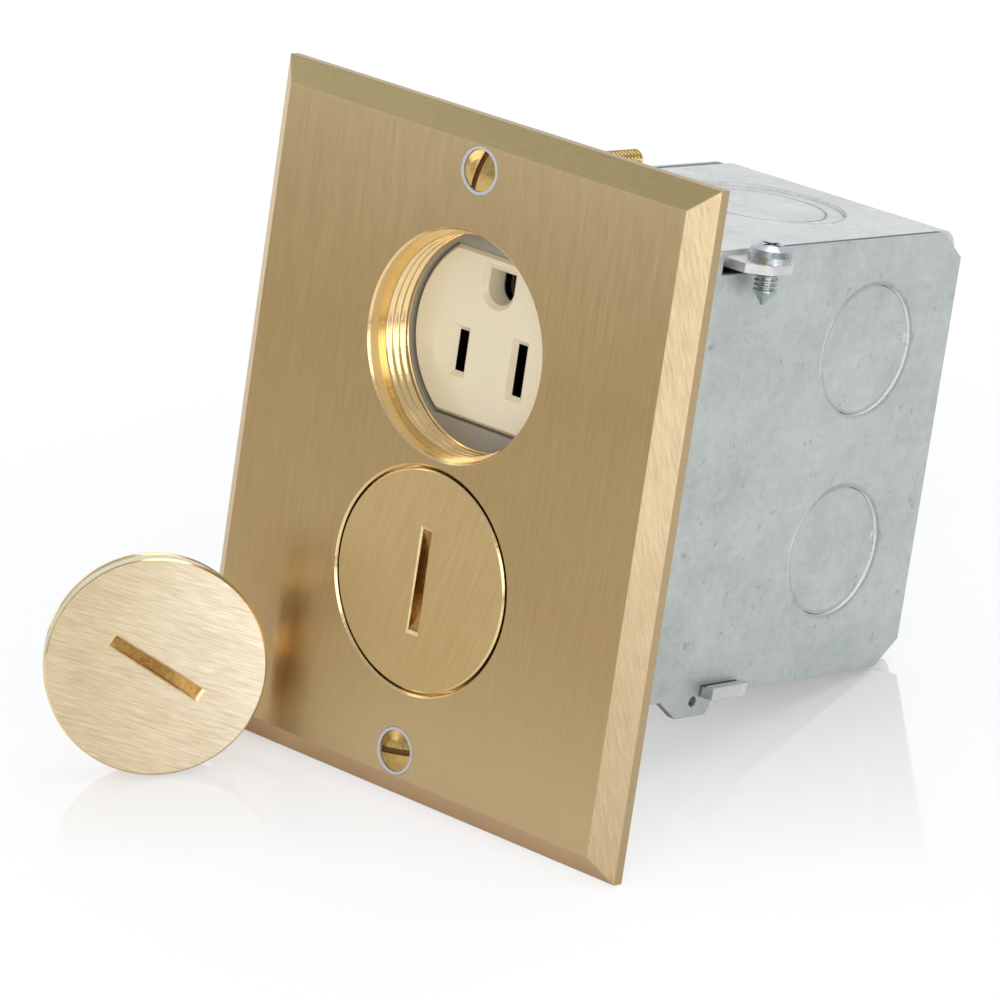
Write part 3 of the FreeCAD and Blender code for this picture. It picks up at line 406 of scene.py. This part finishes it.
def grained_metal(name, dark, light, rough=(0.18, 0.34), scale=900.0, depth=0.003 * MM):
    """Machined or cast metal with a fine even grain."""
    look = Look(name)
    fine = look.noise(look.spread(scale), detail=4.0, rough=0.6)
    slow = look.noise(look.spread(scale * 0.12), detail=2.0)
    tone = look.math("ADD", fine, slow)
    look.set(Base_Color=look.ramp(look.remap(tone, 0.7, 1.3), linear(dark), linear(light)),
             Metallic=1.0, Roughness=look.remap(fine, 0.3, 0.7, *rough),
             Normal=look.bump(tone, depth))
    return look.material


def zinc_tone(look):
    """Small spangle, cloudy tone, fine grain and rolling lines, added up."""
    warp = look.noise(look.spread(260.0), detail=2.0, output="Color")
    warped = look.made("ShaderNodeMix", {0: 0.0035, 4: look.place, 5: warp}, 1,
                       data_type="VECTOR")
    cells = look.made("ShaderNodeTexVoronoi", {"Vector": warped, "Scale": 900.0}, "Color",
                      feature="F1")
    spangle = look.made("ShaderNodeRGBToBW", {"Color": cells})
    cloud = look.noise(look.spread(90.0), detail=8.0, rough=0.72)
    grain = look.noise(look.spread(2600.0), detail=2.0)
    rolled = look.noise(look.spread(900.0, 30.0), detail=2.0)
    tone = look.plus(look.plus(cloud, spangle, 0.16), grain, 0.22)
    return look.plus(tone, rolled, 0.18)


# A knockout's edge: the two axes of its sheet, the axis through it, its centre along the first
# two, its radius, and how dark its score line is, partly painted shade in the cut.
Ring = namedtuple("Ring", "plane through centre radius mark")

# The relief of zinc sheet: what one step of tone raises it, and the marks of a knockout.
ZINC_STEP = 0.01 * MM
BURR_RISE = 0.26 * MM
DRAWN_RISE = 0.09 * MM
TIE_RISE = 0.22 * MM


def knockout_marks(look, ring, ragged, facing):
    """What shearing left round one knockout: a burr, sheet drawn in, a tie, a score line darkened
    partly as painted shade in the cut, and a bare cut wall made near white as a painted
    highlight."""
    place = look.parts(look.place)
    first, second = (place[axis] for axis in ring.plane)
    reach = look.distance(first, second, ring.centre)
    away = look.gap(look.plus(reach, ragged, 0.5 * MM), ring.radius + 0.35 * MM)
    tie_centre = (ring.centre[0] + ring.radius, ring.centre[1] + 1.2 * MM)
    to_tie = look.distance(first, second, tie_centre)
    close = look.remap(look.gap(reach, ring.radius), 0.1 * MM, 0.3 * MM, 1.0, 0.0)
    upright = look.remap(look.math("ABSOLUTE", facing[ring.through]), 0.3, 0.6, 1.0, 0.0)
    return {"burr": look.remap(away, 0.0, 0.7 * MM, 1.0, 0.0),
            "drawn": look.remap(reach, ring.radius, ring.radius + 3 * MM, 1.0, 0.0),
            "tie": look.remap(to_tie, 0.8 * MM, 1.3 * MM, 1.0, 0.0),
            "line": look.remap(away, 0.05 * MM, 0.35 * MM, ring.mark, 0.0),
            "cut": look.math("MULTIPLY", close, upright)}


def galvanised(name, dark, light, rings=(), joint=None):
    """Zinc-coated sheet with dark specks and the marks of its knockouts. A joint is how far
    from the middle the sheet's upper edge meets the next sheet, in a dark line of painted shade."""
    look = Look(name)
    metallic = 0.75
    height = tone = zinc_tone(look)
    specks_and_end_sheen = look.remap(look.noise(look.spread(420.0), detail=4.0, rough=0.7), 0.62, 0.74)
    ragged = look.noise(look.spread(700.0))
    facing = look.parts(look.add("ShaderNodeNewGeometry").outputs["True Normal"])
    score_lines_and_joint_shade, cut_wall_highlights = [], []
    # Painted shade: a dark line on the top face of the upper edge, beside the next sheet.
    if joint:
        off_middle = look.math("ABSOLUTE", look.parts(look.place)["X"])
        beside = look.remap(off_middle, joint + 0.7 * MM, joint + 1.0 * MM, 1.0, 0.0)
        score_lines_and_joint_shade.append(look.math("MULTIPLY", beside, look.remap(facing["Z"], 0.6, 0.8)))
    for ring in rings:
        marks = knockout_marks(look, ring, ragged, facing)
        specks_and_end_sheen = look.math("MAXIMUM", specks_and_end_sheen, look.math("MULTIPLY", marks["burr"], 0.18))
        for mark, rise in (("burr", BURR_RISE), ("drawn", DRAWN_RISE), ("tie", TIE_RISE)):
            height = look.plus(height, marks[mark], rise / ZINC_STEP)
        score_lines_and_joint_shade.append(marks["line"])
        cut_wall_highlights.append(marks["cut"])
    gloss = look.remap(tone, 0.54, 1.02)
    spots = look.ramp(specks_and_end_sheen, (1.0, 1.0, 1.0), (0.60, 0.63, 0.64))
    shade = look.mix("MULTIPLY", 1.0, look.ramp(gloss, linear(dark), linear(light)), spots)
    # Painted shade: the joint's line and, in part, the knockouts' score lines are darkened.
    if score_lines_and_joint_shade:
        shade = look.mix("MULTIPLY", look.strongest(score_lines_and_joint_shade), shade, (0.20, 0.21, 0.22))
    # Painted highlight: the bare cut walls are mixed to near white and made non-metallic.
    if cut_wall_highlights:
        bare_cut_highlight = look.strongest(cut_wall_highlights)
        shade = look.mix("MIX", bare_cut_highlight, shade, (0.92, 0.94, 0.93))
        metallic = look.remap(bare_cut_highlight, 0.0, 1.0, metallic, 0.0)
    look.set(Base_Color=shade, Metallic=metallic,
             Roughness=look.remap(tone, 0.54, 1.02, 0.36, 0.55),
             Normal=look.bump(height, ZINC_STEP, look.rounded(0.2 * MM)))
    return look.material


def moulded(name, colour, rough=0.32, grain=0.003 * MM, coat=0.0, subsurface=0.0):
    """Moulded plastic or rubber: a slow drift of tone and gloss under a fine grain."""
    look = Look(name)
    slow = look.noise(look.spread(70.0), detail=2.0)
    light = linear(colour)
    dark = [value * 0.955 for value in light]
    look.set(Base_Color=look.ramp(slow, dark, light, 0.3, 0.7),
             Roughness=look.remap(slow, 0.3, 0.7, rough * 0.9, rough * 1.15),
             Normal=look.bump(look.noise(look.spread(1400.0)), grain),
             Coat_Weight=coat, Coat_Roughness=0.12, Subsurface_Weight=subsurface,
             Subsurface_Scale=2 * MM)
    return look.material


def slot_shaded_dark(name, colour, start, end):
    """The inside of a slot, painted dark as shade: the given colour as far as start, black from
    end on.
    """
    look = Look(name)
    fine = look.noise(look.spread(500.0), detail=2.0)
    depth = look.remap(look.plus(look.parts(look.place)["Y"], fine, 0.2 * MM), start, end)
    look.set(Base_Color=look.ramp(depth, linear(colour), (0.002, 0.002, 0.002)),
             Roughness=look.remap(depth, 0.0, 1.0, 0.35, 0.9),
             Specular_IOR_Level=look.remap(depth, 0.0, 1.0, 0.4, 0.0),
             Normal=look.bump(fine, 0.003 * MM))
    return look.material


# ---------------------------------------------------------------- materials

SANDED = {"rough": (0.34, 0.5), "rim": 0.5 * MM}
ON_LATHE = {"density": 2400.0, "anisotropy": 0.0}

# The plate's pale ends are a painted sheen.
PLATE = brushed("brass_plate", (166, 139, 94), (190, 162, 116), UP, contrast=1.2,
                pale=(218, 197, 156))
# The top bevel's darker brass is painted shade.
TOP_BEVEL = brushed("brass_top_bevel", (162, 146, 104), (190, 172, 128), TOP_LINES,
                    contrast=1.2, **SANDED)
LOW_BEVEL = brushed("brass_low_bevel", (190, 160, 122), (216, 188, 150), LOW_LINES, **SANDED)
# The right bevel's paler brass is a painted highlight, and its fade darkens it towards the bottom
# as painted shade.
RIGHT_BEVEL = brushed("brass_right_bevel", (182, 156, 114), (242, 222, 186), RIGHT_LINES,
                      contrast=1.15, density=6400.0, length=260.0,
                      fade=(UP, 30 * MM, -50 * MM, (0.82, 0.78, 0.76)), **SANDED)
PLATE_SIDES = brushed("brass_plate_sides", (174, 151, 112), (196, 173, 136), DEEP,
                      rough=(0.3, 0.44))
TURNED = brushed("brass_turned", (226, 196, 140), (246, 222, 174), DEEP, rough=(0.12, 0.26),
                 **ON_LATHE)
CAP = brushed("brass_cap", (182, 153, 102), (210, 182, 132), CAP_LINES, contrast=1.2)
# The loose cap's paler brass is a painted highlight, and its fade darkens it towards one side as
# painted shade.
LOOSE = brushed("brass_loose_cap", (208, 188, 154), (255, 248, 230), LOOSE_LINES,
                rough=(0.30, 0.42), contrast=1.7, density=6600.0, length=260.0,
                fade=(LOOSE_LEVEL, LOOSE_MIDDLE + 22 * MM, LOOSE_MIDDLE - 12 * MM,
                      (0.72, 0.67, 0.57)))
# The cap rim's pale grey brass is a painted reflection, and its fade darkens it towards one side
# as painted shade.
CAP_SIDE = brushed("brass_cap_side", (208, 202, 174), (230, 226, 204), DEEP,
                   rough=(0.24, 0.36), rim=0.03 * MM,
                   fade=(LOOSE_LEVEL, LOOSE_MIDDLE - 12 * MM, LOOSE_MIDDLE - 24 * MM,
                         (0.60, 0.56, 0.48)), **ON_LATHE)
SLOT_RIM = grained_metal("brass_slot_rim", (212, 186, 138), (240, 220, 178), rough=(0.42, 0.56))
SLOT = grained_metal("brass_slot", (132, 98, 50), (190, 152, 92), rough=(0.28, 0.5),
                     scale=1500.0, depth=0.01 * MM)
SCREW_BRASS = grained_metal("brass_screw", (168, 138, 76), (208, 178, 114), rough=(0.16, 0.3),
                            depth=0.006 * MM)
SCREW_SLOT = grained_metal("brass_screw_slot", (92, 62, 36), (132, 96, 62), rough=(0.4, 0.6))
ZINC = grained_metal("zinc_bright", (150, 160, 164), (200, 208, 210), rough=(0.2, 0.34),
                     depth=0.008 * MM)
TIN = grained_metal("tinned_contact", (180, 182, 184), (210, 211, 212))
CONTACT = grained_metal("contact_brass", (180, 148, 88), (210, 180, 116))
# The earth contacts' dark brass is painted shade, deep in the earth holes.
EARTH = grained_metal("earth_brass", (66, 56, 38), (90, 76, 52), rough=(0.4, 0.6))
GREEN = grained_metal("green_screw", (16, 92, 44), (34, 120, 60))
STRAP = galvanised("zinc_strap", (150, 154, 156), (190, 193, 194))

# A side has an upper and a lower knockout. The top has a ring, and in it a disc of their size.
blank_low, blank_high = corners(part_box("side_knockouts"))
blank_y, blank_radius = (blank_low.y + blank_high.y) / 2, (blank_high.y - blank_low.y) / 2
SIDE = galvanised("galvanised_side", (170, 178, 177), (200, 206, 202), rings=[
    Ring("YZ", "X", (blank_y, z), blank_radius, 0.12)
    for z in (blank_high.z - blank_radius, blank_low.z + blank_radius)],
    joint=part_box("right_side")[0][0])
lid_low, lid_high = corners(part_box("top_knockouts"))
lid_y, lid_radius = (lid_low.y + lid_high.y) / 2, (lid_high.y - lid_low.y) / 2
TOP = galvanised("galvanised_wrap", (194, 197, 197), (226, 226, 224), rings=[
    Ring("XY", "Z", (0.0, lid_y), radius, 0.75) for radius in (lid_radius, blank_radius)])

IVORY = moulded("ivory_face", (232, 220, 190), rough=0.24, subsurface=0.06, coat=0.6)
# Painted shade: the walls of the slots and earth holes turn black with depth.
SLOT_SHADE = slot_shaded_dark("ivory_slot", (60, 54, 44), 4.5 * MM, 4.9 * MM)
EARTH_HOLE_SHADE = slot_shaded_dark("ivory_earth_hole", (242, 234, 212), 8.0 * MM, 8.5 * MM)
IVORY_BASE = moulded("ivory_base", (214, 200, 164), rough=0.4)
# The seals are painted a pale tan as painted light, lifting the shade they show where the plate
# reflects them.
PALE_SEAL = moulded("seal_painted_pale", (224, 190, 132), rough=0.55, grain=0.01 * MM)
GREY = moulded("grey_gasket", (152, 145, 132), rough=0.32, grain=0.01 * MM)
NYLON = moulded("white_nylon", (184, 184, 188), rough=0.35, subsurface=0.2)

FINISH = {
    "face_gasket": GREY, "receptacle_base": IVORY_BASE, "line_contacts": CONTACT,
    "neutral_contacts": TIN, "ground_contacts": EARTH, "line_screws": SCREW_BRASS,
    "neutral_screws": ZINC, "ground_screw": GREEN, "assembly_screws": ZINC,
    "mounting_strap": STRAP, "box_wrap": TOP, "right_side": SIDE,
    "left_side": SIDE, "side_knockouts": SIDE, "top_knockouts": TOP, "bottom_knockouts": TOP,
    "rear_knockouts": TOP, "screw_washers": NYLON, "lower_cap_seal": PALE_SEAL,
    "upper_cap_seal": PALE_SEAL,
}
for name, material in FINISH.items():
    nodes[name].data.materials.clear()
    nodes[name].data.materials.append(material)


# ---------------------------------------------------------------- cover plate

ON_FRONT, ON_TOP, ON_LOW, ON_RIGHT, ON_SIDES, IN_BORE = range(6)


def plate_area(face):
    """The area of the plate that a face belongs to, by its place and direction."""
    middle, normal = face.calc_center_median(), face.normal
    slack = 0.08 * MM
    outer_x = abs(middle.x) > PLATE_HIGH.x - BEVEL + slack
    outer_z = abs(middle.z) > PLATE_HIGH.z - BEVEL + slack
    forward = normal.y < -0.3
    if normal.y < -0.999 and middle.y < PLATE_FRONT + NEAR:
        return ON_FRONT
    if forward and outer_z and abs(normal.z) > 0.3:
        return ON_TOP if middle.z > 0 else ON_LOW
    if forward and outer_x and abs(normal.x) > 0.3:
        return ON_RIGHT
    if outer_x or outer_z or normal.y > 0.999:
        return ON_SIDES
    return IN_BORE


def dress_plate():
    """The cover plate with a thread in both openings and its own brush lines on each bevel."""
    piece, bm = dressed("cover_plate", "threaded_plate")
    start = PLATE_FRONT + LAND_DEPTH
    openings = [local_frame((0, 0, OPENING_Z * sign), DEEP, ACROSS) for sign in (1, -1)]
    for place in openings:
        open_wall(bm, place, BORE_RADIUS, start, COLLAR_REAR)
    for face in bm.faces:
        face.material_index = plate_area(face)
    for place in openings:
        thread(bm, place, BORE_RADIUS, start, COLLAR_REAR, THREAD_PITCH, THREAD_DEPTH, -1,
               material=IN_BORE)
    finish_mesh(piece, bm, [PLATE, TOP_BEVEL, LOW_BEVEL, RIGHT_BEVEL, PLATE_SIDES, TURNED],
                [UP, TOP_LINES, LOW_LINES, RIGHT_LINES, ACROSS, DEEP])
    stand_for(piece, "cover_plate")


# ---------------------------------------------------------------- caps

ON_FACE, ON_THREAD, IN_SLOT, ON_EDGE, ON_RIM = range(5)


def break_slot_edge(bm, inverse):
    """Bevels the coin slot's mouth. Inverse takes a point to the cap's own frame."""
    reach = COIN_LENGTH / 2 + 0.3 * MM
    mouth_points = [v for v in bm.verts
                    if (inverse @ v.co).y < NEAR and (inverse @ v.co).length < reach]
    bmesh.ops.remove_doubles(bm, verts=mouth_points, dist=0.001 * MM)
    mouth = [edge for edge in bm.edges
             if sorted(face.material_index for face in edge.link_faces) == [ON_FACE, IN_SLOT]]
    if not mouth:
        raise RuntimeError("no slot mouth on a cap")
    broken = bmesh.ops.bevel(bm, geom=mouth, offset=COIN_EDGE, segments=1, profile=0.5,
                             affect="EDGES")
    for face in broken["faces"]:
        face.material_index = ON_EDGE


def dress_cap(node, name, origin, axis, slot_along, materials, lines):
    """A cap with its thread and a broken edge round its slot. Axis runs from the cap's face to
    its thread, and slot_along is the slot's direction. The materials are the face's, the
    thread's, the slot's, its edge's and the rim's, and lines are the face's brush lines."""
    piece, bm = dressed(node, name)
    place = local_frame(origin, axis, Vector(slot_along).cross(Vector(axis)))
    inverse = place.inverted()
    open_wall(bm, place, PLUG_RADIUS, PLUG_START, PLUG_END)
    for face in bm.faces:
        middle = inverse @ face.calc_center_median()
        off_axis = math.hypot(middle.x, middle.z)
        if middle.y < NEAR:
            face.material_index = ON_FACE
        elif (abs(middle.x) < COIN_WIDTH / 2 + NEAR and off_axis < COIN_LENGTH / 2
              and middle.y < COIN_DEPTH + NEAR):
            face.material_index = IN_SLOT
        elif off_axis > PLUG_RADIUS + 0.4 * MM and abs(face.normal.dot(Vector(axis))) < 0.9:
            face.material_index = ON_RIM
        else:
            face.material_index = ON_THREAD
    break_slot_edge(bm, inverse)
    for face in bm.faces:
        if face.material_index in (ON_FACE, IN_SLOT, ON_EDGE):
            face.smooth = False
    thread(bm, place, PLUG_RADIUS, PLUG_START, PLUG_END, THREAD_PITCH, THREAD_DEPTH, 1,
           material=ON_THREAD)
    finish_mesh(piece, bm, materials, [lines, axis, axis, lines, axis])
    stand_for(piece, node)


# ---------------------------------------------------------------- screws

def dress_screws(node, name, centres, axis, radius, plain, end, depth, materials, is_slot=None):
    """Threads the shanks of a pair of screws from plain to end, measured along the axis from
    each centre, which lies under the screw's head. Depth is the thread's."""
    piece, bm = dressed(node, name)
    for face in bm.faces:
        face.material_index = 1 if is_slot and is_slot(face) else 0
    for centre in centres:
        place = local_frame(centre, axis, ACROSS)
        open_wall(bm, place, radius, 0, end)
        thread(bm, place, radius, 0, plain, plain, 0, 1, around=32, per_turn=4)
        thread(bm, place, radius, plain, end, SCREW_PITCH, depth, 1, around=32, per_turn=8)
    finish_mesh(piece, bm, materials)
    stand_for(piece, node)


cover_low, cover_high = corners(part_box("cover_screws"))
COVER_HEAD_RADIUS = (cover_high.x - cover_low.x) / 2
COVER_Z = cover_high.z - COVER_HEAD_RADIUS
COVER_HEAD_REAR = PLATE_FRONT + 1.3 * MM
COVER_SLOT_FLOOR = PLATE_FRONT + 0.5 * MM
COVER_POINT = 0.8 * MM


def in_cover_slot(face):
    """Whether a face is a wall or the floor of a cover screw's slot."""
    points = [v.co for v in face.verts]
    off_axis = max(math.hypot(p.x, abs(p.z) - COVER_Z) for p in points)
    is_wall = abs(face.normal.y) < 0.2 and off_axis < COVER_HEAD_RADIUS - NEAR
    is_floor = abs(face.calc_center_median().y - COVER_SLOT_FLOOR) < NEAR
    return max(p.y for p in points) < COVER_SLOT_FLOOR + NEAR and (is_wall or is_floor)


# ---------------------------------------------------------------- receptacle

IN_BLADE_SLOT, IN_EARTH_HOLE = 1, 2
# A slot's walls start behind its lip. The blades lie under an outlet's middle, the earth above.
SLOT_LIP = 0.85 * MM
BLADE_DROP = 3.0 * MM
EARTH_RISE = 8.9 * MM


def off_outlet(z, rise):
    """How far a height is from a place that lies above the middle of either outlet."""
    return abs(abs(z - rise) - OPENING_Z)


def dress_receptacle():
    """The outlet face with slots and earth holes painted dark inside as shade. Their walls are
    the faces behind the lip in windows a little wider than they are."""
    piece, bm = dressed("receptacle_front", "receptacle_face")
    lip_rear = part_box("receptacle_front")[0][1] + SLOT_LIP
    for face in bm.faces:
        middle = face.calc_center_median()
        if abs(face.normal.y) >= 0.2 or middle.y <= lip_rear:
            continue
        aside = abs(middle.x)
        if 4.0 * MM < aside < 8.0 * MM and off_outlet(middle.z, -BLADE_DROP) < 4.4 * MM:
            face.material_index = IN_BLADE_SLOT
        elif aside < 2.9 * MM and off_outlet(middle.z, EARTH_RISE) < 3.2 * MM:
            face.material_index = IN_EARTH_HOLE
    finish_mesh(piece, bm, [IVORY, SLOT_SHADE, EARTH_HOLE_SHADE])
    stand_for(piece, "receptacle_front")


# ---------------------------------------------------------------- the dressed pieces

dress_plate()
dress_receptacle()
dress_cap("lower_cap", "threaded_lower_cap", (0, PLATE_FRONT, -OPENING_Z), DEEP, UP,
          [CAP, TURNED, SLOT, SLOT_RIM, TURNED], CAP_LINES)
dress_cap("upper_cap", "threaded_upper_cap", roll["pos_m"], LOOSE_AXIS, LOOSE_SLOT,
          [LOOSE, TURNED, SLOT, SLOT_RIM, CAP_SIDE], LOOSE_LINES)

dress_screws("cover_screws", "threaded_cover_screws",
             [(0, COVER_HEAD_REAR, COVER_Z * sign) for sign in (1, -1)], DEEP,
             radius=1.7 * MM, plain=12 * MM, end=cover_high.y - COVER_HEAD_REAR - COVER_POINT,
             depth=0.32 * MM, materials=[SCREW_BRASS, SCREW_SLOT], is_slot=in_cover_slot)

side_low, side_high = corners(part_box("side_screws"))
SIDE_HEAD_RADIUS, SIDE_HEAD = 3.5 * MM, 2.8 * MM
side_x, side_y = side_high.x - SIDE_HEAD_RADIUS, (side_low.y + side_high.y) / 2
dress_screws("side_screws", "threaded_side_screws",
             [(side_x * sign, side_y, side_high.z - SIDE_HEAD) for sign in (1, -1)], (0, 0, -1),
             radius=1.95 * MM, plain=1.0 * MM, end=4.8 * MM, depth=0.38 * MM, materials=[ZINC])

device_low, device_high = corners(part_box("device_screws"))
DEVICE_HEAD_RADIUS, DEVICE_HEAD = 3.3 * MM, 1.8 * MM
device_z = device_high.z - DEVICE_HEAD_RADIUS
dress_screws("device_screws", "threaded_device_screws",
             [(0, device_low.y + DEVICE_HEAD, device_z * sign) for sign in (1, -1)], DEEP,
             radius=1.7 * MM, plain=1.2 * MM, end=13.5 * MM, depth=0.32 * MM, materials=[ZINC])


# ---------------------------------------------------------------- line of sight

# The camera's place and angles were fitted to the photograph.
CAMERA_PLACE = Vector((619.8, -706.3, 235.35)) * MM
CAMERA_TURN, CAMERA_TILT, CAMERA_ROLL = 130.8019, -14.3595, 8.4791
SIGHT_LEVEL = slanted(ACROSS, DEEP, CAMERA_TURN)
SIGHT = slanted(SIGHT_LEVEL, UP, CAMERA_TILT)
SIGHT_ACROSS = SIGHT.cross(Vector(UP)).normalized()


# ---------------------------------------------------------------- floor

def floor_look():
    """Seen directly it is white card under a thin gloss, whose reflection fades towards the
    front. Other rays meet pale card, and from below it can't be seen."""
    look = Look("pale_floor")
    look.set(Base_Color=(0.9, 0.9, 0.9), Roughness=0.9)
    card = look.shader.outputs["BSDF"]
    white = look.made("ShaderNodeEmission", {"Strength": 1.02})
    mirror = look.made("ShaderNodeBsdfGlossy", {"Color": (1, 1, 1), "Roughness": 0.07})
    clear = look.made("ShaderNodeBsdfTransparent", {})
    spot = look.parts(look.place)
    from_part = look.distance(spot["X"], spot["Y"], (20 * MM, 30 * MM))
    near = look.remap(from_part, 120 * MM, 220 * MM, 1.0, 0.0)
    fading = look.remap(look.dot(look.place, -SIGHT_LEVEL), -50 * MM, 26 * MM, 0.62, 0.0)
    across = look.dot(look.place, SIGHT_ACROSS)
    by_cap = look.remap(across, -45 * MM, -12 * MM, 0.5, 0.0)
    by_box = look.remap(across, 0.0, 60 * MM, 0.5, 0.93)
    beside = look.math("ADD", by_cap, by_box)
    gloss = look.math("MULTIPLY", look.math("MULTIPLY", fading, beside), near)
    shine = look.blend(gloss, white, mirror)
    seen = look.blend(look.math("MULTIPLY", near, 0.26), shine, card)
    direct = look.add("ShaderNodeLightPath").outputs["Is Camera Ray"]
    below = look.add("ShaderNodeNewGeometry").outputs["Backfacing"]
    look.feed(look.output, "Surface", look.blend(below, look.blend(direct, card, seen), clear))
    return look.material


def lay_floor():
    """The part leans back: its plate's lower edge and the box's lower edge, a little before
    its rear, touch the floor."""
    pivot = Vector((0, 0, PLATE_LOW.z))
    knockout_sink = 0.5 * MM
    touch_setback = 3.6 * MM
    box_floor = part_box("bottom_knockouts")[0][2] - knockout_sink
    tilt = math.atan2(box_floor - PLATE_LOW.z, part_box("right_side")[1][1] - touch_setback)
    half = 1600 * MM
    mesh = bpy.data.meshes.new("floor")
    mesh.from_pydata([(-half, -half, 0), (half, -half, 0), (half, half, 0), (-half, half, 0)],
                     [], [(0, 1, 2, 3)])
    mesh.materials.append(floor_look())
    floor = bpy.data.objects.new("floor", mesh)
    bpy.context.collection.objects.link(floor)
    floor.matrix_world = Matrix.Translation(pivot) @ Matrix.Rotation(tilt, 4, "X")


# ---------------------------------------------------------------- light and camera

def light_studio():
    """The studio is dimmer than its white backdrop, which stands behind the part to the
    left. Seen directly it is white all round."""
    world = bpy.data.worlds.new("studio")
    bpy.context.scene.world = world
    world.use_nodes = True
    sky = Graph(world.node_tree)
    around = sky.add("ShaderNodeTexCoord").outputs["Generated"]
    bright = sky.remap(sky.dot(around, (-0.64, 0.74, 0.2)), 0.35, 0.85, 0.55, 1.0)
    soft = sky.made("ShaderNodeBackground", {"Color": (0.96, 0.975, 1.0), "Strength": bright})
    plain = sky.made("ShaderNodeBackground", {"Color": (1, 1, 1), "Strength": 1.0})
    direct = sky.add("ShaderNodeLightPath").outputs["Is Camera Ray"]
    out = sky.add("ShaderNodeOutputWorld")
    sky.feed(out, "Surface", sky.blend(direct, soft, plain))


def soft_box(name, place, size, power, colour=(1, 1, 1), target=(0, 0, 0)):
    """A rectangular lamp of a width and height, aimed at a target."""
    data = bpy.data.lights.new(name, "AREA")
    data.shape = "RECTANGLE"
    data.size, data.size_y = size
    data.energy = power
    data.color = colour
    lamp = bpy.data.objects.new(name, data)
    bpy.context.collection.objects.link(lamp)
    lamp.location = place
    aim = Vector(target) - Vector(place)
    lamp.rotation_euler = aim.to_track_quat("-Z", "Y").to_euler()


def place_camera():
    """A long lens at the photograph's place and angles."""
    data = bpy.data.cameras.new("camera")
    data.sensor_width = 36.0
    data.lens = 218.1
    data.clip_start = 0.01
    data.clip_end = 20.0
    camera = bpy.data.objects.new("camera", data)
    bpy.context.collection.objects.link(camera)
    right = slanted(SIGHT_ACROSS, SIGHT_ACROSS.cross(SIGHT), CAMERA_ROLL)
    axes = Matrix((right, right.cross(SIGHT), -SIGHT)).transposed().to_4x4()
    camera.matrix_world = Matrix.Translation(CAMERA_PLACE) @ axes
    bpy.context.scene.camera = camera


lay_floor()
light_studio()
WARM = (1.0, 0.985, 0.96)
soft_box("key_front", (0.48, -1.03, 0.26), size=(1.15, 0.6), power=4.6, colour=WARM)
soft_box("edge_right", (1.12, -0.25, 0.12), size=(0.5, 0.4), power=3.4, colour=WARM)
soft_box("fill_left", (-1.1, -0.6, 0.6), size=(0.8, 0.8), power=1.8)
soft_box("low_left", (-0.95, -0.75, 0.12), size=(0.8, 0.3), power=1.2)
soft_box("over", (0.1, 0.2, 1.3), size=(1.0, 1.0), power=6.5, target=(0, 0.02, 0))
place_camera()
bpy.context.scene.view_settings.view_transform = "Standard"
